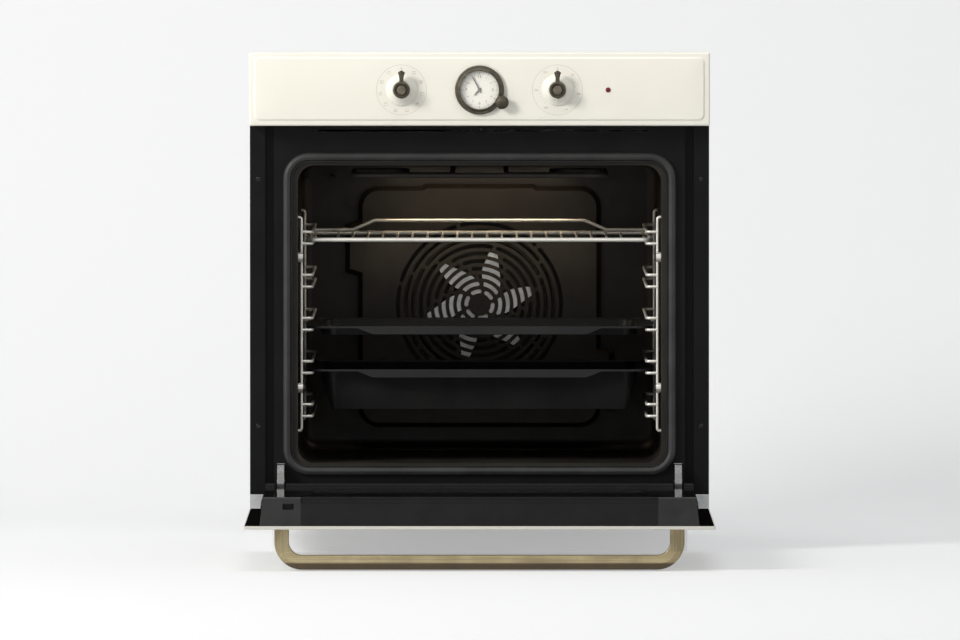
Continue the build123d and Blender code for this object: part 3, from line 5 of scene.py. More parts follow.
import bmesh
import bpy
import numpy as np
from mathutils import Euler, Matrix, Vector


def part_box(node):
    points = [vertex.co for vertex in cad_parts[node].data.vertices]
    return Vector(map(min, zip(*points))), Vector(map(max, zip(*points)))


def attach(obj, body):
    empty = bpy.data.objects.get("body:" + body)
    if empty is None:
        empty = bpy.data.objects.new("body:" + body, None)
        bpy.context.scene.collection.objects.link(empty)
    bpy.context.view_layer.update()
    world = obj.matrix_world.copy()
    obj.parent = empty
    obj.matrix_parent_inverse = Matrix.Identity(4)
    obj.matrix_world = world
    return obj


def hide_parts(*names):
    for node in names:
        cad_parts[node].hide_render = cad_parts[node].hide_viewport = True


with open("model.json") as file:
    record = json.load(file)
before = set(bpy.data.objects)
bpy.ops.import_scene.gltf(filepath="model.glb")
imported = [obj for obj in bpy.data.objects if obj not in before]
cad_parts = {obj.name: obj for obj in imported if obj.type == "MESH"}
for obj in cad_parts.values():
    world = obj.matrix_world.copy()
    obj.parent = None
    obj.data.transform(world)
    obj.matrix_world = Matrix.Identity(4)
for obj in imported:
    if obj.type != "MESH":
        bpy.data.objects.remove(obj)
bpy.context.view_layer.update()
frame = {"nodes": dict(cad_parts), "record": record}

scene = bpy.context.scene
slotOf = {part["node"]: part["material_slot"] for part in frame["record"]["subparts"]}


# shader maths: a Field is a value that changes over a surface

class Field:
    def __init__(self, look, socket):
        self.look = look
        self.socket = socket

    def math(self, operation, *others):
        values = dict(enumerate((self,) + others))
        return self.look.node("ShaderNodeMath", {"operation": operation}, values)

    def __add__(self, other):
        return self.math("ADD", other)

    def __mul__(self, other):
        return self.math("MULTIPLY", other)

    def __sub__(self, other):
        return self.math("SUBTRACT", other)

    def __rsub__(self, other):
        return self.look.node("ShaderNodeMath", {"operation": "SUBTRACT"}, {0: other, 1: self})

    def __abs__(self):
        return self.math("ABSOLUTE")

    def __lt__(self, other):
        return self.math("LESS_THAN", other)

    def __gt__(self, other):
        return self.math("GREATER_THAN", other)

    __radd__ = __add__
    __rmul__ = __mul__

    def between(self, low, high, first=0.0, last=1.0):  # low to high becomes first to last, kept inside
        values = {0: self, 1: low, 2: high, 3: first, 4: last}
        return self.look.node("ShaderNodeMapRange", {"clamp": True}, values)


class Look:
    def __init__(self, name, fixed, sky=None):
        self.material = sky or bpy.data.materials.new(name)
        self.material.use_nodes = True
        self.tree = self.material.node_tree
        self.shader = self.tree.nodes["Background" if sky else "Principled BSDF"]
        for socket, value in fixed.items():
            self.shader.inputs[socket].default_value = value

    def node(self, kind, settings=None, inputs=None, output=0):
        item = self.tree.nodes.new(kind)
        for key, value in (settings or {}).items():
            setattr(item, key, value)
        for key, value in (inputs or {}).items():
            if isinstance(value, Field):
                self.tree.links.new(value.socket, item.inputs[key])
            else:
                item.inputs[key].default_value = value
        return Field(self, item.outputs[output])

    def feed(self, **sockets):
        for socket, value in sockets.items():
            self.tree.links.new(value.socket, self.shader.inputs[socket.replace("_", " ")])

    def surface(self):
        return Field(self, self.shader.outputs[0])

    def show(self, closure):  # what the surface or the sky ends up as
        last = [item for item in self.tree.nodes if item.type.startswith("OUTPUT")][0]
        self.tree.links.new(closure.socket, last.inputs[0])

    def lookedAt(self):  # 1 where the camera, a mirror or glass looks straight at it
        eye = self.node("ShaderNodeLightPath", output="Is Camera Ray")
        mirror = self.node("ShaderNodeLightPath", output="Is Glossy Ray")
        glass = self.node("ShaderNodeLightPath", output="Is Transmission Ray")
        return eye.math("MAXIMUM", mirror).math("MAXIMUM", glass)

    def spot(self, stretch=(1, 1, 1)):  # object coordinates in metres, stretched for the pattern
        here = self.node("ShaderNodeTexCoord", output=3)
        return self.node("ShaderNodeMapping", {}, {"Vector": here, "Scale": stretch})

    def axis(self, letter):  # one object coordinate, in metres
        here = self.node("ShaderNodeTexCoord", output=3)
        return self.node("ShaderNodeSeparateXYZ", {}, {0: here}, letter)

    def noise(self, scale, detail=2.0, stretch=(1, 1, 1)):
        values = {"Vector": self.spot(stretch), "Scale": scale, "Detail": detail}
        return self.node("ShaderNodeTexNoise", {}, values)

    def cells(self, scale, output=0):  # output 0 is the distance to a cell's middle, 1 its random colour
        return self.node("ShaderNodeTexVoronoi", {}, {"Vector": self.spot(), "Scale": scale}, output)

    def grey(self, colour):  # one channel of a colour, as a number
        return self.node("ShaderNodeSeparateColor", {}, {0: colour})

    def mix(self, mask, first, second):
        return self.node("ShaderNodeMix", {"data_type": "RGBA"}, {0: mask, 6: first, 7: second}, 2)

    def bump(self, height, strength, distance):
        values = {"Strength": strength, "Distance": distance, "Height": height}
        self.feed(Normal=self.node("ShaderNodeBump", {}, values))


def rgba(red, green, blue):
    return (red, green, blue, 1.0)


def ivoryEnamel(name, values):
    look = Look(name, {"Coat Weight": values["coat"], "Coat Roughness": 0.1, "Specular IOR Level": 0.35})
    tone = look.noise(7, 3).between(0.35, 0.65)
    body = look.mix(tone, rgba(*values["pale"]), rgba(*values["warm"]))
    if "shadedEdge" in values:  # painted shade: the free edge is greyed to stand for the shade on its rounded lower edge
        patinaAndEdgeShade = look.axis("Y").between(*values["shadedEdge"], 1.0, 0.0)
        body = look.mix(patinaAndEdgeShade, body, rgba(*values["grey"]))
    look.feed(Base_Color=body)
    look.feed(Roughness=look.noise(45, 3).between(0.3, 0.7, values["gloss"], values["gloss"] + 0.08))
    peel = look.noise(420, 1) * 0.7 + look.noise(1700, 1) * 0.3
    look.bump(peel, values["peel"], 0.0002)
    return look


def agedMetal(name, values):
    look = Look(name, {"Specular IOR Level": 0.4})
    patinaAndShade = look.noise(values["scale"], 5).between(0.38, 0.64)
    pores = look.noise(1400, 3).between(0.55, 0.75)
    patinaAndEdgeShade = look.mix(patinaAndShade, rgba(*values["dark"]), rgba(*values["light"]))
    look.feed(Base_Color=look.mix(pores * 0.35, patinaAndEdgeShade, rgba(*values["pit"])))
    look.feed(Metallic=patinaAndShade.between(0, 1, values["metal"] - 0.1, values["metal"]))
    look.feed(Roughness=patinaAndShade.between(0, 1, values["rough"] + 0.12, values["rough"]) + pores * 0.15)
    look.bump(look.noise(600, 4) + look.noise(90, 2) * 0.6, values["bump"], 0.00025)
    return look


def brushedBrass(name, values):
    look = Look(name, {"Specular IOR Level": 0.4})
    z = look.axis("Z")
    onLeg = z.between(*values["legFoot"])
    alongBar = look.noise(1, 4, values["barStretch"])
    alongLeg = look.noise(1, 4, values["legStretch"])
    grain = alongBar * (1 - onLeg) + alongLeg * onLeg
    cloud = look.noise(26, 4).between(0.36, 0.66)
    tone = (grain.between(0.3, 0.7) * 0.55 + cloud * 0.45).between(0.15, 0.85)
    low = z.between(*values["lowFacet"])  # painted shade: the facet turned to the floor is darkened, as if in shade
    body = look.mix(tone, rgba(*values["dark"]), rgba(*values["light"]))
    # the low facet gets painted shade and the legs are made a little darker, both towards the same dark
    # brown
    dark = low * (1 - onLeg) * values["lowFacetShade"] + onLeg * values["darkLeg"]
    look.feed(Base_Color=look.mix(dark, body, rgba(*values["patinaAndShade"])))
    look.feed(Metallic=tone.between(0, 1, 0.6, 0.78))
    look.feed(Roughness=tone.between(0, 1, 0.52, 0.36))
    look.bump(grain + look.noise(900, 2) * 0.25, 0.16, 0.0002)
    return look


def darkEnamel(name, values):
    look = Look(name, {"Specular IOR Level": values["specular"]})
    fleck = look.cells(values["flecks"]).between(values["fleckSize"], values["fleckSize"] * 0.6)
    some = look.grey(look.cells(values["flecks"], 1)).between(0.62, 0.66)
    cloud = look.noise(14, 3).between(0.35, 0.65)
    body = look.mix(cloud, rgba(*values["deep"]), rgba(*values["body"]))
    if "groove" in values:  # painted shade: the pressed channels are darkened as if shaded in their recess
        beside = abs(look.axis("X"))
        grooveShade = (beside > values["groove"][0]) * (beside < values["groove"][1])
        body = look.mix(grooveShade, body, rgba(*values["shade"]))
    look.feed(Base_Color=look.mix(fleck * some, body, rgba(*values["fleck"])))
    look.feed(Roughness=look.noise(60, 3).between(0.3, 0.7, values["gloss"], values["gloss"] + 0.1))
    peel = look.noise(330, 2) + look.noise(1500, 1) * 0.35
    look.bump(peel, values["peel"], 0.0003)
    return look


def zincSheet(name, values):
    look = Look(name, {"Specular IOR Level": 0.5})
    spangle = look.grey(look.cells(values["spangle"], 1))
    fine = look.grey(look.cells(values["spangle"] * 2.7, 1))
    tone = spangle * 0.65 + fine * 0.35
    rolled = look.noise(1, 3, (18, 18, 420))
    body = look.mix(tone, rgba(*values["dark"]), rgba(*values["light"]))
    look.feed(Base_Color=look.mix(rolled.between(0.4, 0.8) * 0.25, body, rgba(*values["stain"])))
    look.feed(Metallic=tone.between(0, 1, 0.7, 0.85))
    look.feed(Roughness=tone.between(0, 1, 0.5, 0.34))
    look.bump(rolled + tone * 0.15, 0.08, 0.0003)
    return look


def plainMetal(name, values):
    look = Look(name, {"Specular IOR Level": 0.5})
    brushed = look.noise(1, 4, values["stretch"])
    cloud = look.noise(values["cloud"], 4).between(0.35, 0.7)
    tone = brushed.between(0.3, 0.7) * 0.4 + cloud * 0.6
    look.feed(Base_Color=look.mix(tone, rgba(*values["dark"]), rgba(*values["light"])))
    look.feed(Metallic=tone.between(0, 1, values["metal"] - 0.08, values["metal"]))
    look.feed(Roughness=tone.between(0, 1, values["rough"] + 0.1, values["rough"]))
    look.bump(brushed, values["bump"], 0.0002)
    return look


def armSteel(name, values):
    # mottled zinc; painted shade: the end that turns inside the door is darkened near black, as if in the
    # door's shade
    look = Look(name, {"Specular IOR Level": 0.4})
    mottle = look.noise(500, 4).between(0.35, 0.65) * 0.7 + look.noise(60, 3) * 0.3
    outsideShade = look.axis("Z").between(*values["shadedEnd"])
    zinc = look.mix(mottle, rgba(*values["dark"]), rgba(*values["light"]))
    look.feed(Base_Color=look.mix(outsideShade, rgba(*values["black"]), zinc))
    look.feed(Metallic=outsideShade * 0.45)
    look.feed(Roughness=mottle.between(0, 1, 0.62, 0.5))
    look.bump(mottle, 0.12, 0.0002)
    return look


def moulded(name, values):
    look = Look(name, {"Specular IOR Level": values["specular"]})
    cloud = look.noise(30, 3).between(0.35, 0.65)
    look.feed(Base_Color=look.mix(cloud, rgba(*values["dark"]), rgba(*values["light"])))
    look.feed(Roughness=look.noise(90, 2).between(0.3, 0.7, values["rough"], values["rough"] + 0.12))
    grain = look.cells(values["grain"]) + look.noise(values["grain"] * 0.6, 2)
    look.bump(grain, values["bump"], 0.0002)
    return look


def wool(name, values):
    look = Look(name, {"Specular IOR Level": 0.1})
    strands = look.noise(1, 5, (60, 900, 260)) + look.noise(1, 5, (700, 90, 300))
    clumps = look.noise(35, 4)
    tone = (strands * 0.4 + clumps * 0.4).between(0.35, 0.85)
    look.feed(Base_Color=look.mix(tone, rgba(*values["dark"]), rgba(*values["light"])))
    look.feed(Roughness=tone.between(0, 1, 0.98, 0.9))
    look.bump(strands + clumps, 0.9, 0.002)
    return look


def clearGlass(name, values):
    look = Look(name, {"Specular IOR Level": 0.5, "IOR": 1.5})
    smear = look.noise(22, 4).between(0.4, 0.75)
    look.feed(Base_Color=look.mix(smear, rgba(*values["tint"]), rgba(*values["thin"])))
    look.feed(Roughness=smear.between(0, 1, 0.03, 0.07))
    look.feed(Alpha=smear.between(0, 1, values["alpha"], values["alpha"] + 0.02))
    return look


def printedGlass(name, values):
    # the black print is solid outside a rounded window and breaks into dots along its edge
    look = Look(name, {"Specular IOR Level": 0.5, "IOR": 1.5})
    x, y = look.axis("X"), look.axis("Y")
    (halfWidth, near, far), corner = values["window"], values["corner"]
    beside = (abs(x) - (halfWidth - corner)).math("MAXIMUM", 0.0)
    along = (abs(y - (near + far) / 2) - (abs(far - near) / 2 - corner)).math("MAXIMUM", 0.0)
    outside = (beside * beside + along * along).math("SQRT") - corner
    printed = outside.between(-0.0004, 0.0004)
    dots = look.cells(values["dots"]).between(0.34, 0.28)
    fading = dots * outside.between(-values["fade"], -0.0005)
    mask = printed.math("MAXIMUM", fading)
    smear = look.noise(16, 4).between(0.4, 0.75)
    look.feed(Base_Color=look.mix(mask, rgba(*values["tint"]), rgba(*values["print"])))
    look.feed(Alpha=mask.between(0, 1, values["alpha"], 1.0))
    look.feed(Roughness=smear.between(0, 1, 0.03, 0.08))
    return look


def laminated(name, values):
    look = Look(name, {"Specular IOR Level": 0.4})
    sheets = (look.axis("Y") * (2 * math.pi / values["pitch"])).math("SINE").between(-0.4, 0.4)
    rust = look.noise(120, 4).between(0.5, 0.72)
    body = look.mix(sheets, rgba(*values["gap"]), rgba(*values["sheet"]))
    look.feed(Base_Color=look.mix(rust * 0.5, body, rgba(*values["rust"])))
    look.feed(Metallic=sheets.between(0, 1, 0.4, 0.75))
    look.feed(Roughness=rust.between(0, 1, 0.42, 0.6))
    look.bump(sheets, 0.35, 0.0003)
    return look


def redLens(name, values):
    look = Look(name, {"Coat Weight": 0.1, "Coat Roughness": 0.08, "Specular IOR Level": 0.2,
                       "Emission Strength": 0.08})
    beside, above = look.axis("X") - values["centre"][0], look.axis("Z") - values["centre"][1]
    reach = (beside * beside + above * above).math("SQRT")
    rings = (reach * (2 * math.pi / values["pitch"])).math("SINE")
    glow = reach.between(0.0, values["radius"])
    look.feed(Base_Color=look.mix(glow, rgba(*values["middle"]), rgba(*values["edge"])))
    look.feed(Emission_Color=look.mix(glow, rgba(*values["middle"]), rgba(*values["edge"])))
    look.feed(Roughness=rings.between(-1, 1, 0.12, 0.2))
    look.bump(rings, 0.12, 0.0002)
    return look


def lampGlass(name, values):
    look = Look(name, {"Emission Strength": values["strength"], "Roughness": 0.2})
    ribs = look.noise(1, 2, (260, 30, 30))
    look.feed(Base_Color=look.mix(ribs, rgba(*values["rib"]), rgba(*values["glass"])))
    look.feed(Emission_Color=look.mix(ribs.between(0.3, 0.7), rgba(*values["rib"]), rgba(*values["glow"])))
    look.bump(ribs, 0.3, 0.0005)
    return look


def printedMark(name, values):
    look = Look(name, {"Specular IOR Level": 0.3})
    wear = look.noise(900, 3).between(0.35, 0.7)
    look.feed(Base_Color=look.mix(wear, rgba(*values["ink"]), rgba(*values["thin"])))
    look.feed(Roughness=wear.between(0, 1, 0.35, 0.5))
    return look


finishes = {
    "ivory_enamel": (ivoryEnamel, {
        "pale": (0.80, 0.776, 0.69), "warm": (0.785, 0.757, 0.668),
        "gloss": 0.3, "coat": 0.25, "peel": 0.03}),
    "ivory_plastic": (ivoryEnamel, {
        "pale": (0.80, 0.776, 0.69), "warm": (0.785, 0.757, 0.668),
        "gloss": 0.26, "coat": 0.3, "peel": 0.02}),
    "dial_enamel": (ivoryEnamel, {
        "pale": (0.90, 0.862, 0.785), "warm": (0.885, 0.842, 0.76),
        "gloss": 0.5, "coat": 0.05, "peel": 0.02}),
    "aged_bronze": (agedMetal, {
        "dark": (0.046, 0.039, 0.026), "light": (0.088, 0.075, 0.050), "pit": (0.014, 0.011, 0.008),
        "scale": 130, "metal": 0.5, "rough": 0.4, "bump": 0.1}),
    "antique_brass": (brushedBrass, {
        "dark": (0.275, 0.226, 0.130), "light": (0.455, 0.380, 0.225), "patinaAndShade": (0.075, 0.054, 0.038),
        "barStretch": (9, 520, 520), "legStretch": (520, 520, 12), "legFoot": (-0.034, -0.028),
        "lowFacet": (-0.0432, -0.0452), "lowFacetShade": 0.87, "darkLeg": 0.24}),
    "hand_enamel": (moulded, {
        "dark": (0.105, 0.093, 0.075), "light": (0.14, 0.125, 0.10), "rough": 0.6, "specular": 0.1,
        "grain": 2600, "bump": 0.05}),
    "clear_glass": (clearGlass, {"tint": (0.9, 0.93, 0.92), "thin": (0.97, 0.97, 0.96), "alpha": 0.08}),
    "red_lens": (redLens, {
        "centre": (0.1665, 0.5466), "radius": 0.0033, "pitch": 0.0011,
        "middle": (0.085, 0.004, 0.010), "edge": (0.17, 0.018, 0.030)}),
    "black_enamel": (darkEnamel, {
        "deep": (0.0055, 0.0055, 0.0058), "body": (0.0075, 0.0075, 0.0078), "fleck": (0.016, 0.016, 0.017),
        "flecks": 1500, "fleckSize": 0.2, "gloss": 0.34, "peel": 0.08, "specular": 0.08}),
    "cavity_enamel": (darkEnamel, {
        "deep": (0.0165, 0.0142, 0.0115), "body": (0.0250, 0.0220, 0.0175), "fleck": (0.12, 0.108, 0.09),
        "flecks": 620, "fleckSize": 0.13, "gloss": 0.3, "peel": 0.08, "specular": 0.16}),
    "tray_enamel": (darkEnamel, {
        "deep": (0.0105, 0.0105, 0.0105), "body": (0.0150, 0.0148, 0.0146), "fleck": (0.09, 0.09, 0.09),
        "flecks": 760, "fleckSize": 0.14, "gloss": 0.3, "peel": 0.12, "specular": 0.22}),
    "gasket_rubber": (moulded, {
        "dark": (0.017, 0.017, 0.017), "light": (0.026, 0.026, 0.026), "rough": 0.5, "specular": 0.35,
        "grain": 1400, "bump": 0.12}),
    "mineral_wool": (wool, {"dark": (0.36, 0.30, 0.16), "light": (0.66, 0.60, 0.40)}),
    "galvanised_steel": (zincSheet, {
        "dark": (0.42, 0.43, 0.44), "light": (0.62, 0.63, 0.64), "stain": (0.50, 0.50, 0.49),
        "spangle": 95}),
    "chrome_wire": (plainMetal, {
        "dark": (0.70, 0.68, 0.62), "light": (0.86, 0.84, 0.77), "metal": 0.5, "rough": 0.3,
        "cloud": 30, "stretch": (40, 40, 40), "bump": 0.02}),
    "bright_steel": (plainMetal, {
        "dark": (0.45, 0.45, 0.44), "light": (0.64, 0.64, 0.63), "metal": 0.9, "rough": 0.3,
        "cloud": 60, "stretch": (700, 40, 40), "bump": 0.08}),
    "element_steel": (plainMetal, {
        "dark": (0.014, 0.012, 0.010), "light": (0.022, 0.019, 0.016), "metal": 0.15, "rough": 0.6,
        "cloud": 90, "stretch": (90, 90, 90), "bump": 0.12}),
    "fan_aluminium": (plainMetal, {
        "dark": (0.50, 0.50, 0.49), "light": (0.66, 0.66, 0.64), "metal": 0.85, "rough": 0.36,
        "cloud": 40, "stretch": (60, 60, 500), "bump": 0.06}),
    "black_plastic": (moulded, {
        "dark": (0.014, 0.014, 0.014), "light": (0.020, 0.020, 0.020), "rough": 0.5, "specular": 0.25,
        "grain": 1900, "bump": 0.14}),
    "door_black": (moulded, {
        "dark": (0.015, 0.015, 0.015), "light": (0.018, 0.018, 0.018), "rough": 0.6, "specular": 0.04,
        "grain": 1500, "bump": 0.1}),
    "ceramic_body": (moulded, {
        "dark": (0.70, 0.68, 0.62), "light": (0.82, 0.80, 0.75), "rough": 0.75, "specular": 0.3,
        "grain": 700, "bump": 0.1}),
    "printed_glass": (printedGlass, {
        "window": (0.215, -0.3825, -0.6825), "corner": 0.022, "dots": 420, "fade": 0.012,
        "tint": (0.012, 0.012, 0.012), "print": (0.004, 0.004, 0.004), "alpha": 0.55}),
    "tinted_glass": (clearGlass, {"tint": (0.01, 0.01, 0.011), "thin": (0.014, 0.014, 0.015), "alpha": 0.8}),
    "motor_steel": (laminated, {
        "gap": (0.05, 0.048, 0.045), "sheet": (0.34, 0.335, 0.33), "rust": (0.16, 0.09, 0.05),
        "pitch": 0.0011}),
}
looks = {slot: make(slot, values) for slot, (make, values) in finishes.items()}
looks["lamp_glow"] = lampGlass("lamp_glow", {
    "strength": 0.02, "glass": (0.05, 0.045, 0.04), "rib": (0.03, 0.026, 0.022), "glow": (1.0, 0.72, 0.42)})
looks["panel_mark"] = printedMark("panel_mark", {"ink": (0.30, 0.27, 0.22), "thin": (0.42, 0.39, 0.32)})
looks["dial_mark"] = printedMark("dial_mark", {"ink": (0.16, 0.14, 0.12), "thin": (0.25, 0.23, 0.2)})
looks["knob_disc"] = agedMetal("knob_disc", {
    "dark": (0.095, 0.081, 0.058), "light": (0.155, 0.132, 0.095), "pit": (0.03, 0.025, 0.018),
    "scale": 160, "metal": 0.5, "rough": 0.38, "bump": 0.08})
looks["blackened_steel"] = plainMetal("blackened_steel", {
    "dark": (0.010, 0.009, 0.008), "light": (0.022, 0.020, 0.018), "metal": 0.4, "rough": 0.5,
    "cloud": 200, "stretch": (300, 300, 300), "bump": 0.1})
# painted shade: a darker copy of the door black, without reflection, for the door's side profiles
looks["shaded_profile_edge"] = moulded("shaded_profile_edge", {
    "dark": (0.0035, 0.0035, 0.0033), "light": (0.0045, 0.0045, 0.0042), "rough": 0.7, "specular": 0.0,
    "grain": 1500, "bump": 0.06})
# painted shade: the door's free edge is greyed as if in shade
looks["door_enamel"] = ivoryEnamel("door_enamel", finishes["ivory_enamel"][1] | {
    "shadedEdge": (-0.7812, -0.7796), "grey": (0.56, 0.545, 0.49)})
# painted shade in the frame's pressed channels
looks["frame_enamel"] = darkEnamel("frame_enamel", finishes["black_enamel"][1] | {
    "groove": (0.267, 0.278), "shade": (0.0012, 0.0012, 0.0013)})
looks["ring_bronze"] = agedMetal("ring_bronze", {
    "dark": (0.056, 0.048, 0.033), "light": (0.112, 0.096, 0.067), "pit": (0.016, 0.013, 0.010),
    "scale": 130, "metal": 0.5, "rough": 0.38, "bump": 0.1})
# painted shade on the arm's end inside the door
looks["arm_steel"] = armSteel("arm_steel", {
    "dark": (0.14, 0.14, 0.14), "light": (0.265, 0.265, 0.262), "black": (0.008, 0.008, 0.008),
    "shadedEnd": (0.0345, 0.0365)})
for name, node in frame["nodes"].items():
    node.data.materials.clear()
    node.data.materials.append(looks[slotOf[name]].material)
ownLooks = {
    "lamp_glass": "lamp_glow", "cavity_screws": "blackened_steel", "temperature_sensor": "blackened_steel",
    "hinge_arms": "arm_steel", "door_side_profiles": "shaded_profile_edge", "door_front": "door_enamel",
    "front_frame": "frame_enamel"}
for name, finish in ownLooks.items():
    frame["nodes"][name].data.materials[0] = looks[finish].material
print("finishes:", len(looks))


# shapes: all sizes below are millimetres; x and z from the front, forward is ahead of the panel's face

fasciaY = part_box("clock_dial")[1].y * 1000


def place(x, forward, z):
    # x and z stay, and y is the panel's face less the forward
    x, forward, z = np.broadcast_arrays(x, forward, z)
    return np.stack([x, fasciaY - forward, z], axis=-1)


def grid(points, aroundRows=False, aroundColumns=False):
    # rows by columns of points, each joined to the next along both
    rows, columns = points.shape[:2]
    index = np.arange(rows * columns).reshape(rows, columns)
    index = np.vstack([index, index[:1]]) if aroundRows else index
    index = np.hstack([index, index[:, :1]]) if aroundColumns else index
    faces = np.stack([index[:-1, :-1], index[:-1, 1:], index[1:, 1:], index[1:, :-1]], axis=-1)
    return points.reshape(-1, 3), faces.reshape(-1, 4)


def together(parts):
    # one list of points, with each part's faces moved on by the points before it
    starts = np.cumsum([0] + [len(points) for points, faces in parts[:-1]])
    points = np.concatenate([points for points, faces in parts])
    return points, np.concatenate([faces + start for start, (_, faces) in zip(starts, parts)])


def build(name, parts, body, slot, look=None, replaces=(), sharp=32, shut=True):
    points, faces = together(parts)
    mesh = bpy.data.meshes.new(name)
    mesh.from_pydata((points * 0.001).tolist(), [], faces.tolist())
    work = bmesh.new()
    work.from_mesh(mesh)
    if shut:
        bmesh.ops.remove_doubles(work, verts=work.verts, dist=2e-6)
        bmesh.ops.recalc_face_normals(work, faces=work.faces)
    work.to_mesh(mesh)
    work.free()
    mesh.shade_smooth()
    mesh.set_sharp_from_angle(angle=math.radians(sharp))
    piece = bpy.data.objects.new(name, mesh)
    scene.collection.objects.link(piece)
    mesh.materials.append(looks[look or slot].material)
    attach(piece, body)
    if replaces:
        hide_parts(*replaces)
    return piece


def rounded(corners, steps=5):
    # a line through corners given as a, b and a radius, with an arc of that radius in place of each corner
    line = []
    places = [np.array(corner[:2], float) for corner in corners]
    for k, (a, b, radius) in enumerate(corners):
        if radius == 0 or k in (0, len(corners) - 1):
            line.append(places[k][None])
            continue
        back = places[k - 1] - places[k]
        ahead = places[k + 1] - places[k]
        back, ahead = back / np.linalg.norm(back), ahead / np.linalg.norm(ahead)
        half = math.acos(np.clip(back @ ahead, -1, 1)) / 2
        start = places[k] + back * radius / math.tan(half)
        finish = places[k] + ahead * radius / math.tan(half)
        middle = places[k] + (back + ahead) / np.linalg.norm(back + ahead) * radius / math.sin(half)
        share = np.linspace(0, 1, steps + 1)[:, None]
        chord = start * (1 - share) + finish * share - middle
        line.append(middle + chord / np.linalg.norm(chord, axis=1)[:, None] * radius)
    return np.concatenate(line)


def lathe(profile, centre, count=96):
    # each profile point, a radius and a forward, is carried once round the axis through the centre
    angle = np.linspace(0, 2 * math.pi, count, endpoint=False)
    radius, forward = profile[:, :1], profile[:, 1:]
    x = centre[0] + radius * np.cos(angle)
    z = centre[1] + radius * np.sin(angle)
    return grid(place(x, forward, z), aroundColumns=True)


def ribbon(line, width, forward):
    # a flat strip along a line of x and z points, half its width to each side
    line = np.asarray(line, float)
    ahead = np.gradient(line, axis=0)
    ahead /= np.linalg.norm(ahead, axis=1)[:, None]
    across = np.stack([-ahead[:, 1], ahead[:, 0]], axis=-1) * width / 2
    sides = np.stack([line + across, line - across], axis=1)
    return grid(place(sides[..., 0], forward, sides[..., 1]))


def arc(centre, radius, start, finish, steps=48):
    # the radius times the cosine across and the sine up, from the start angle to the finish, in degrees
    angle = np.radians(np.linspace(start, finish, steps + 1))
    return np.stack([centre[0] + radius * np.cos(angle), centre[1] + radius * np.sin(angle)], axis=-1)


def frameLoop(halfWidth, low, high, corner, steps=14):
    # a rounded rectangle's line: each corner's middle plus its radius times the outward direction,
    # which comes back too
    spots, outs = [], []
    for sideX, sideZ, start in ((1, 1, 0), (-1, 1, 90), (-1, -1, 180), (1, -1, 270)):
        middle = np.array([sideX * (halfWidth - corner), (high if sideZ > 0 else low) - sideZ * corner])
        angle = np.radians(np.linspace(start, start + 90, steps + 1))
        out = np.stack([np.cos(angle), np.sin(angle)], axis=-1)
        spots.append(middle + out * corner)
        outs.append(out)
    return np.concatenate(spots), np.concatenate(outs)


def headed(degrees):
    # the direction of a clock heading: its sine across and its cosine up
    return np.array([math.sin(math.radians(degrees)), math.cos(math.radians(degrees))])


def turned(line, centre, heading, radius):
    # a small drawing moved out by a radius at a clock heading, and kept upright
    return np.asarray(line, float) + headed(heading) * radius + centre


fontSize = 1.35  # for each unit of a figure's height


def words(name, texts, forward, body, slot, look, bold=0.0):
    # generic numbers set flat on a face: each has its text, its middle and its height
    parts = []
    for text, (x, z), height in texts:
        curve = bpy.data.curves.new(name, "FONT")
        curve.body, curve.size, curve.offset = text, height * fontSize, bold
        curve.align_x, curve.align_y = "CENTER", "CENTER"
        holder = bpy.data.objects.new(name, curve)
        flat = bpy.data.meshes.new_from_object(holder)
        flat.calc_loop_triangles()
        spots = np.zeros(len(flat.vertices) * 3)
        flat.vertices.foreach_get("co", spots)
        threes = np.zeros(len(flat.loop_triangles) * 3, int)
        flat.loop_triangles.foreach_get("vertices", threes)
        spots = spots.reshape(-1, 3)
        parts.append((place(x + spots[:, 0], forward, z + spots[:, 1]), threes.reshape(-1, 3)))
        bpy.data.objects.remove(holder)
    return build(name, parts, body, slot, look, shut=False)


# knobs: a bell skirt, a grooved hub with its disc, and a flared pointer

knobPlan = {
    "height": 546.6, "apart": 202.0,
    "bell": [(3, 0.5, 0), (20.5, 0.5, 0.3), (20.5, 2.0, 0.7), (17.6, 3.9, 3.2), (14.0, 7.2, 5.0),
             (12.3, 10.2, 0.5), (3, 10.2, 0)],
    "hub": [(3, 10.0, 0), (10.3, 10.0, 0.3), (10.9, 11.2, 0.5), (10.9, 18.6, 1.5), (9.8, 20.9, 0.6),
            (8.1, 21.1, 0.4), (7.5, 19.2, 0.3), (6.3, 19.2, 0.2), (6.0, 20.6, 0), (0, 20.6, 0)],
    "disc": {"radius": 5.9, "back": 20.4, "front": 22.0, "round": 0.5, "sides": 6, "flat": 0.035},
    "stem": [(3, 10.0), (3, -20.0), (0, -20.0)],
    "pointer": {"root": 6.0, "top": 25.4, "front": 19.6, "back": 12.6,
                "square": 0.28,  # near 0 is square, 1 is an ellipse
                "flareAt": [0, 0.3, 0.5, 0.7, 0.83, 0.86, 1],
                "flareHalf": [3.1, 2.75, 2.8, 3.6, 4.5, 4.45, 0.9]},
}
leftKnob = (-knobPlan["apart"] / 2, knobPlan["height"])
rightKnob = (knobPlan["apart"] / 2, knobPlan["height"])


def roundTable(plan, centre, count=96):
    # a low disc whose radius dips a little between its corners, with a rounded edge and a closed middle;
    # a row is a share of the radius and a share of the way from back to front
    angle = np.linspace(0, 2 * math.pi, count, endpoint=False)
    dip = 1 - plan["flat"] * (1 - np.cos(plan["sides"] * angle)) / 2
    share = np.array([[1.0, 0.0], [1.0, 1.0 - plan["round"] / (plan["front"] - plan["back"])], [0.98, 0.93],
                      [0.93, 1.0], [0.5, 1.0], [0.0, 1.0]])
    radius = share[:, :1] * plan["radius"] * dip
    forward = plan["back"] + share[:, 1:] * (plan["front"] - plan["back"]) + 0 * radius
    x = centre[0] + radius * np.cos(angle)
    z = centre[1] + radius * np.sin(angle)
    return grid(place(x, forward, z), aroundColumns=True)


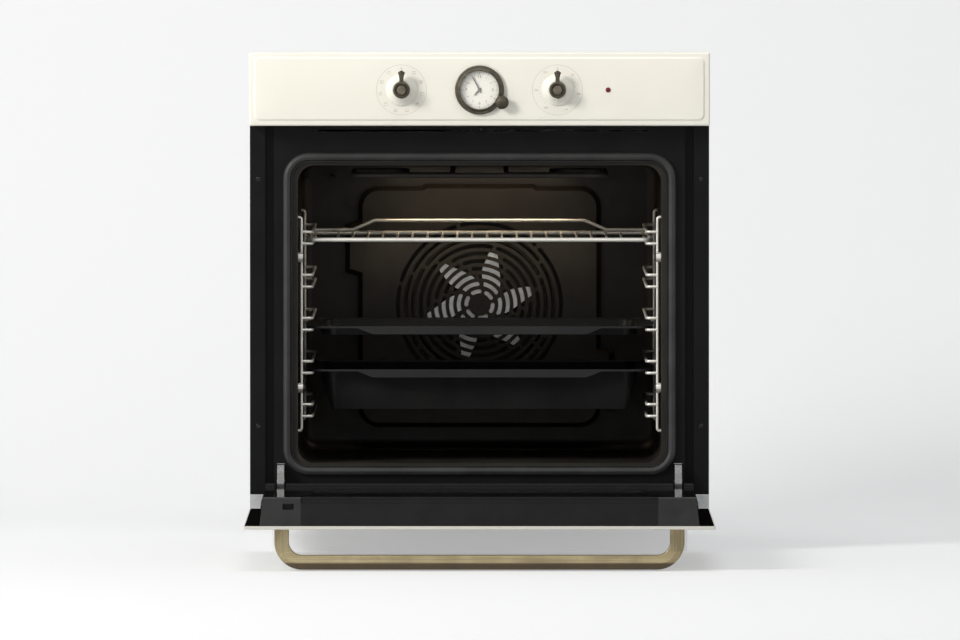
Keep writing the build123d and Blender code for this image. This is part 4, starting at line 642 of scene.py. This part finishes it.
def pointerBody(plan, centre, rows=44, count=28):
    # its half width follows a smooth flare up to two shoulders, then falls to a blunt apex;
    # each row is a rounded rectangle of that width, and the end rows shrink to a line
    up = np.linspace(0, 1, rows)
    height = plan["root"] + (plan["top"] - plan["root"]) * up
    half = np.interp(up, plan["flareAt"], plan["flareHalf"])
    shrink = np.clip(np.minimum(up, 1 - up) * rows / 2.0, 0, 1) ** 0.5
    around = np.linspace(0, 2 * math.pi, count, endpoint=False)
    deep = (plan["front"] - plan["back"]) / 2
    side = np.sign(np.cos(around)) * np.abs(np.cos(around)) ** plan["square"]
    front = np.sign(np.sin(around)) * np.abs(np.sin(around)) ** plan["square"]
    x = centre[0] + (half * (0.7 + 0.3 * shrink))[:, None] * side
    forward = (plan["front"] + plan["back"]) / 2 + (deep * (0.75 + 0.25 * shrink))[:, None] * front
    z = centre[1] + height[:, None] + 0 * x
    body = place(x, forward, z)
    ends = np.stack([body[0].mean(0), body[-1].mean(0)])
    body = np.concatenate([np.repeat(ends[:1][None], count, 1), body, np.repeat(ends[1:][None], count, 1)])
    return grid(body, aroundColumns=True)


for side, middle, body in (("left", leftKnob, "function_knob"), ("right", rightKnob, "thermostat_knob")):
    bell = lathe(rounded(knobPlan["bell"], 8), middle, 128)
    build(side + "_bell", [bell], body, "ivory_plastic", replaces=[side + "_knob_skirt"])
    knob = [lathe(rounded(knobPlan["hub"], 4), middle), pointerBody(knobPlan["pointer"], middle),
            lathe(np.array(knobPlan["stem"]), middle, 32)]
    build(side + "_hub", knob, body, "aged_bronze", replaces=[side + "_knob"])
    build(side + "_disc", [roundTable(knobPlan["disc"], middle)], body, "aged_bronze", "knob_disc")
print("knobs built")


# clock: bezel, domed glass, printed dial and setting knob

clockPlan = {
    "bezel": [(26.5, 0.05, 0), (31.7, 0.05, 0.2), (31.8, 4.4, 1.0), (30.4, 5.4, 0.6), (28.6, 5.5, 0.6),
              (25.7, 8.0, 0.7), (24.8, 7.5, 0.3), (24.8, 5.0, 0), (26.5, 4.9, 0)],
    "glassRadius": 26.2, "glassBack": 3.7, "glassEdge": 4.7, "glassRise": 1.8,
    "knob": (29.0, 530.6), "knobRadius": 8.9, "knobBack": 8.6, "knobWall": 1.6, "knobRise": 6.2,
    "stem": [(2.4, 8.8), (2.4, -24.0), (0, -24.0)],
    "face": 0.86, "hourIn": 20.9, "hourOut": 23.4, "minuteIn": 22.3, "hourWidth": 0.55, "minuteWidth": 0.2,
    "track": 23.75, "trackWidth": 0.18, "numbers": 17.2, "quarter": 3.8, "other": 2.3, "bold": 0.05,
}
dialCentre = (0.0, knobPlan["height"])


def domedGlass(plan, centre):
    # the front rises from its edge by one less the square of the radius; the back is the same, lower
    share = np.linspace(0, 1, 14)[:, None]
    radius = share * plan["glassRadius"]
    rise = plan["glassRise"] * (1 - share ** 2)
    front = np.hstack([radius, plan["glassEdge"] + rise])
    back = np.hstack([radius, plan["glassBack"] + rise])
    return lathe(np.concatenate([front, back[::-1]]), centre, 96)


def dome(plan, centre):
    # a quarter ellipse on a short wall, with a fine groove at its foot
    turn = np.linspace(0, math.pi / 2, 14)
    cap = np.stack([plan["knobRadius"] * np.cos(turn),
                    plan["knobBack"] + plan["knobWall"] + plan["knobRise"] * np.sin(turn)], axis=-1)
    foot = rounded([(0, plan["knobBack"], 0), (plan["knobRadius"] - 0.2, plan["knobBack"], 0.3),
                    (plan["knobRadius"], plan["knobBack"] + 1.2, 0.2),
                    (plan["knobRadius"] - 0.35, plan["knobBack"] + 1.6, 0.1),
                    (plan["knobRadius"], plan["knobBack"] + 2.0, 0)], 3)
    return lathe(np.concatenate([foot, cap]), centre, 72)


bezel = rounded(clockPlan["bezel"], 5)
build("clock_ring", [lathe(np.concatenate([bezel, bezel[:1]]), dialCentre, 144)], "oven_body",
      "aged_bronze", "ring_bronze", ["clock_bezel"])
build("clock_dome", [domedGlass(clockPlan, dialCentre)], "oven_body", "clear_glass",
      replaces=["clock_glass"])
setter = [dome(clockPlan, clockPlan["knob"]), lathe(np.array(clockPlan["stem"]), clockPlan["knob"], 28)]
build("clock_setter", setter, "clock_setting_knob", "aged_bronze", replaces=["clock_knob"])

dialMarks = []
for step in range(60):
    kind = "minute" if step % 5 else "hour"
    out = headed(step * 6)
    line = np.array([out * clockPlan[kind + "In"], out * clockPlan["hourOut"]]) + dialCentre
    dialMarks.append(ribbon(line, clockPlan[kind + "Width"], clockPlan["face"]))
track = arc(dialCentre, clockPlan["track"], 360, 0, 120)
dialMarks.append(ribbon(track, clockPlan["trackWidth"], clockPlan["face"]))
build("dial_minutes", dialMarks, "oven_body", "dial_enamel", "dial_mark", shut=False)
hours = []
for hour in range(1, 13):
    spot = headed(hour * 30) * clockPlan["numbers"] + dialCentre
    hours.append((str(hour), spot, clockPlan["other" if hour % 3 else "quarter"]))
words("dial_numbers", hours, clockPlan["face"], "oven_body", "dial_enamel", "dial_mark", clockPlan["bold"])
print("clock built")


# control panel: a pressed shell whose raised face slopes softly down to a flat rim

panelPlan = {
    "halfWidth": 298.5, "low": 500.0, "high": 595.0, "back": -42.0, "sheet": 1.2, "corner": 2.6, "edge": 2.5,
    "rim": -1.6, "raised": (292.6, 505.8, 589.8, 9.0), "slope": 3.4,
}


def panelSurface(plan):
    # rounded rectangles one inside the other, from the middle of the inner side, over the edge, to the
    # middle of the face; the slope follows 3s squared less 2s cubed
    mid = (plan["low"] + plan["high"]) / 2
    flat = plan["halfWidth"] - plan["high"] + mid

    def inset(amount, forward):
        corner = max(plan["corner"] - amount, 0.4)
        return (plan["halfWidth"] - amount, plan["low"] + amount, plan["high"] - amount, corner, forward)

    inside = plan["rim"] - plan["sheet"]
    rows = [(flat, mid, mid, 0, inside), inset(plan["sheet"], inside), inset(plan["sheet"], plan["back"]),
            inset(0, plan["back"])]
    for turn in np.linspace(0, math.pi / 2, 7):
        forward = plan["rim"] - plan["edge"] * (1 - math.sin(turn))
        rows.append(inset(plan["edge"] * (1 - math.cos(turn)), forward))
    half, low, high, corner = plan["raised"]
    for share in np.linspace(0, 1, 11):
        step = plan["slope"] * share
        rise = plan["rim"] * (1 - share * share * (3 - 2 * share))
        rows.append((half - step, low + step, high - step, corner - step, rise))
    rows.append((flat, mid, mid, 0, 0.0))
    loops = []
    for halfWidth, low, high, corner, forward in rows:
        line = frameLoop(halfWidth, low, high, corner)[0]
        loops.append(place(line[:, 0], forward, line[:, 1]))
    return grid(np.stack(loops), aroundColumns=True)


build("panel_shell", [panelSurface(panelPlan)], "oven_body", "ivory_enamel",
      replaces=["control_panel"], sharp=50)

# printed marks on the panel: a fine ring round each knob, plain symbols and temperatures

markPlan = {
    "face": 0.04, "ring": 32.4, "ringWidth": 0.28, "symbols": 27.6, "line": 0.34, "number": 2.6, "zero": 2.8,
    "tickIn": 23.2, "tickOut": 24.4, "tickWidth": 0.3, "ticks": 26, "firstTick": 45, "tickTurn": 11.2,
    "labels": ("50", "100", "150", "200", "250", "275"),
}
box = np.array([(-2.2, -1.9), (-2.2, 1.9), (2.2, 1.9), (2.2, -1.9), (-2.2, -1.9)])
topBar = [(-1.4, 1.1), (1.4, 1.1)]
lowBar = [(-1.4, -1.1), (1.4, -1.1)]
fanMark = arc((0, 0), 0.8, 0, 360, 16)
blade = [(-1.2, -0.5), (1.2, 0.5)]
grillMark = np.array([(-1.5, 1.2), (-0.9, 0.6), (-0.3, 1.2), (0.3, 0.6), (0.9, 1.2), (1.5, 0.6)])
flake = [(0, -1.3), (0, 1.3)]
functions = [
    (36, [box, topBar, lowBar]), (68, [box, fanMark, blade]), (100, [box, grillMark]),
    (132, [box, grillMark, fanMark]), (164, [box, lowBar]), (196, [box, lowBar, fanMark]),
    (228, [box, topBar]), (260, [box, fanMark]), (292, [box, flake, blade]),
    (324, [arc((0, 0), 1.7, 0, 360, 20)]),
]
panelMarks = []
for middle in (leftKnob, rightKnob):
    line = arc(middle, markPlan["ring"], 360, 0, 120)
    panelMarks.append(ribbon(line, markPlan["ringWidth"], markPlan["face"]))
for heading, drawing in functions:
    for line in drawing:
        line = turned(line, leftKnob, heading, markPlan["symbols"])
        panelMarks.append(ribbon(line, markPlan["line"], markPlan["face"]))
temperatures = []
for step in range(markPlan["ticks"]):
    out = headed(markPlan["firstTick"] + step * markPlan["tickTurn"])
    if step % 5:
        line = np.array([out * markPlan["tickIn"], out * markPlan["tickOut"]]) + rightKnob
        panelMarks.append(ribbon(line, markPlan["tickWidth"], markPlan["face"]))
    else:
        spot = out * markPlan["symbols"] + rightKnob
        temperatures.append((markPlan["labels"][step // 5], spot, markPlan["number"]))
for x, z in (leftKnob, rightKnob):
    temperatures.append(("0", (x, z + markPlan["symbols"]), markPlan["zero"]))
build("panel_symbols", panelMarks, "oven_body", "ivory_enamel", "panel_mark", shut=False)
words("panel_numbers", temperatures, markPlan["face"], "oven_body", "ivory_enamel", "panel_mark")
print("panel printed")


# door gasket: a hollow bulb with a thin inner fin, carried round the mouth

gasketPlan = {
    "halfWidth": 249.0, "low": 51.7, "high": 458.4, "corner": 28.0, "foot": -42.0,
    "section": [(6, 0, 0), (6, 3.4, 1.6), (4.6, 7.0, 2.4), (0.8, 8.6, 3.2), (-3.2, 7.0, 2.2),
                (-4.6, 3.6, 0.5), (-5.1, 3.6, 0.2), (-5.4, 5.2, 0.2), (-5.9, 5.2, 0.2), (-5.9, 0, 0)],
}


def carried(section, plan):
    # each section point, an outward and a forward, follows the loop
    line, out = frameLoop(plan["halfWidth"], plan["low"], plan["high"], plan["corner"])
    spread = line[:, None] + out[:, None] * section[None, :, :1]
    return grid(place(spread[..., 0], plan["foot"] + section[None, :, 1], spread[..., 1]),
                aroundRows=True, aroundColumns=True)


build("gasket_bulb", [carried(rounded(gasketPlan["section"], 4), gasketPlan)], "oven_body", "gasket_rubber",
      replaces=["door_gasket"])
print("gasket built")


# screws: a domed head with a cross recess, set on sheet at the sides, top and back

screwPlan = {
    "radius": 4.0, "rise": 1.6, "cross": 2.4, "arm": 0.55, "deep": 1.1, "sink": 0.3,
    "onSide": [(-250, 20), (-250, 300), (-250, 560), (250, 20), (250, 300), (250, 560), (0, 12)],  # y and z
    "onTop": (262, (-200, 0, 200)),  # x, and each y
    "onRear": (268, (40, 300, 540)),  # x, and each z
    "rearFoot": (90, 14),  # x and z
}


def screwHead(plan, spot, outward, rings=9, count=40):
    # height over the sheet is a dome, cut down inside a cross; outward is the axis it faces along
    radius = plan["radius"] * np.linspace(1, 0, rings)[:, None] ** 0.8
    angle = np.linspace(0, 2 * math.pi, count, endpoint=False)
    a, b = radius * np.cos(angle), radius * np.sin(angle)
    height = plan["rise"] * np.sqrt(np.clip(1.02 - (radius / plan["radius"]) ** 2, 0, 1)) + 0 * angle
    nearer, farther = np.minimum(np.abs(a), np.abs(b)), np.maximum(np.abs(a), np.abs(b))
    inCross = (nearer < plan["arm"]) & (farther < plan["cross"])
    height = np.where(inCross, height - plan["deep"], height) - plan["sink"]
    outward = np.array(outward, float)
    first = np.array((0, 0, 1.0)) if abs(outward[2]) < 0.5 else np.array((1.0, 0, 0))
    second = np.cross(outward, first)
    points = np.array(spot) + a[..., None] * first + b[..., None] * second + height[..., None] * outward
    return grid(points, aroundColumns=True)


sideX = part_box("side_panels")[1].x * 1000
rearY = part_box("rear_panel")[1].y * 1000
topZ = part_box("top_cover")[1].z * 1000
topX, topPlaces = screwPlan["onTop"]
rearX, rearPlaces = screwPlan["onRear"]
footX, footZ = screwPlan["rearFoot"]
screws = []
for side in (-1, 1):
    for y, z in screwPlan["onSide"]:
        screws.append(screwHead(screwPlan, (sideX * side, y, z), (side, 0, 0)))
    for y in topPlaces:
        screws.append(screwHead(screwPlan, (side * topX, y, topZ), (0, 0, 1)))
    for z in rearPlaces:
        screws.append(screwHead(screwPlan, (side * rearX, rearY, z), (0, 1, 0)))
for x in (-footX, footX):
    screws.append(screwHead(screwPlan, (x, rearY, footZ), (0, 1, 0)))
build("sheet_screws", screws, "oven_body", "bright_steel", sharp=25)
nichePlan = {
    "radius": 2.45, "rise": 0.8, "cross": 1.5, "arm": 0.35, "deep": 0.6, "sink": -0.6, "behindFace": 1.6,
    "spacer": 5.5,  # a spacer's outer radius, from its box in to the middle of its hole
}
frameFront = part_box("front_frame")[0].y * 1000
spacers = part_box("niche_spacers")
inside = nichePlan["spacer"]
plugs = []
for x in (spacers[0].x * 1000 + inside, spacers[1].x * 1000 - inside):
    for z in (spacers[0].z * 1000 + inside, spacers[1].z * 1000 - inside):
        plugs.append(screwHead(nichePlan, (x, frameFront + nichePlan["behindFace"], z), (0, -1, 0)))
build("niche_screws", plugs, "oven_body", "bright_steel", "blackened_steel", sharp=25)
print("screws built:", len(screws) + len(plugs))


# camera, stage and light

view = {"place": (0.00065, -18.81, 0.857), "tilt": 1.884, "lens": 535.8, "sensor": 36.0, "far": 100.0}
camera = bpy.data.cameras.new("camera")
camera.lens = view["lens"]
camera.sensor_width = view["sensor"]
camera.clip_end = view["far"]
cameraObject = bpy.data.objects.new("camera", camera)
scene.collection.objects.link(cameraObject)
cameraObject.location = view["place"]
cameraObject.rotation_euler = Euler((math.radians(90 - view["tilt"]), 0, 0))
scene.camera = cameraObject

stagePlan = {"floor": -0.0545, "near": -24.0, "wall": 1.6, "curve": 0.9, "top": 9.0, "halfWidth": 14.0,
             "plinth": (-0.27, 0.27, -0.25, 0.255), "plinthTop": -0.0004,
             "paper": (0.78, 0.785, 0.79, 1.0), "white": 0.35}


def paperLook(name, plan):
    look = Look(name, {"Roughness": 0.9, "Specular IOR Level": 0.1, "Base Color": plan["paper"]})
    white = look.node("ShaderNodeEmission", {}, {0: rgba(1, 1, 1), 1: 1.0})
    share = look.lookedAt() * plan["white"]
    look.show(look.node("ShaderNodeMixShader", {}, {0: share, 1: look.surface(), 2: white}))
    return look


def paperSheet(plan):
    # a flat floor that bends up through a quarter circle into a wall
    turn = np.linspace(0, math.pi / 2, 16)
    bendY = plan["wall"] - plan["curve"] + plan["curve"] * np.sin(turn)
    bendZ = plan["floor"] + plan["curve"] * (1 - np.cos(turn))
    y = np.concatenate([[plan["near"]], bendY, [plan["wall"]]])
    z = np.concatenate([[plan["floor"]], bendZ, [plan["top"]]])
    x = np.array([-plan["halfWidth"], plan["halfWidth"]])
    rows = np.stack(np.broadcast_arrays(x[None], y[:, None], z[:, None]), axis=-1)
    return grid(rows)


def stagePiece(name, points, faces, look):
    mesh = bpy.data.meshes.new(name)
    mesh.from_pydata(points.tolist(), [], faces.tolist())
    mesh.shade_smooth()
    mesh.set_sharp_from_angle(angle=math.radians(40))
    piece = bpy.data.objects.new(name, mesh)
    scene.collection.objects.link(piece)
    mesh.materials.append(look.material)
    return piece


paper = paperLook("stage_paper", stagePlan)
stagePiece("backdrop", *paperSheet(stagePlan), paper)
x0, x1, y0, y1 = stagePlan["plinth"]
ring = np.array([(x0, y0), (x1, y0), (x1, y1), (x0, y1)])
levels = (stagePlan["floor"], stagePlan["plinthTop"])
sides = np.stack([np.column_stack([ring, np.full(4, z)]) for z in levels])
lid = np.stack([sides[1].mean(0)[None].repeat(4, 0), sides[1]])[::-1]
stagePiece("plinth", *together([grid(sides, aroundColumns=True), grid(lid, aroundColumns=True)]), paper)

skyPlan = {"light": rgba(0.97, 0.985, 1.0), "strength": 0.38}
scene.world = bpy.data.worlds.new("studio")
sky = Look("studio", {"Color": skyPlan["light"], "Strength": skyPlan["strength"]}, scene.world)
plainWhite = sky.node("ShaderNodeBackground", {}, {"Color": rgba(1, 1, 1), "Strength": 1.0})
sky.show(sky.node("ShaderNodeMixShader", {}, {0: sky.lookedAt(), 1: sky.surface(), 2: plainWhite}))

lamps = {
    "key": {"at": (-3.6, -3.4, 2.6), "to": (0, -0.3, 0.4), "size": 1.5, "power": 220,
            "colour": (1.0, 0.985, 0.955)},
    "fill": {"at": (3.4, -4.2, 1.8), "to": (0, -0.3, 0.3), "size": 2.6, "power": 12,
             "colour": (0.96, 0.98, 1.0)},
    "top": {"at": (0.1, -1.2, 3.6), "to": (0, -0.3, 0.4), "size": 2.2, "power": 34,
            "colour": (1.0, 1.0, 1.0)},
    "oven_bulb": {"at": (0, 0.082, 0.428), "to": (0, 0.094, 0.36), "size": 0.24, "deep": 0.03, "power": 0.2,
                  "colour": (1.0, 0.80, 0.56)},
    "rear_glow": {"at": (0, 0.108, 0.342), "to": (0, 0.135, 0.06), "size": 0.3, "deep": 0.02, "power": 0.085,
                  "colour": (1.0, 0.84, 0.64)},
}
for name, plan in lamps.items():
    lamp = bpy.data.lights.new(name, "AREA")
    lamp.shape = "RECTANGLE"
    lamp.size = plan["size"]
    lamp.size_y = plan.get("deep", plan["size"])
    lamp.energy = plan["power"]
    lamp.color = plan["colour"]
    holder = bpy.data.objects.new(name, lamp)
    scene.collection.objects.link(holder)
    holder.location = plan["at"]
    holder.rotation_euler = (Vector(plan["to"]) - Vector(plan["at"])).to_track_quat("-Z", "Y").to_euler()
scene.view_settings.view_transform = "Standard"
print("camera, stage and light set")
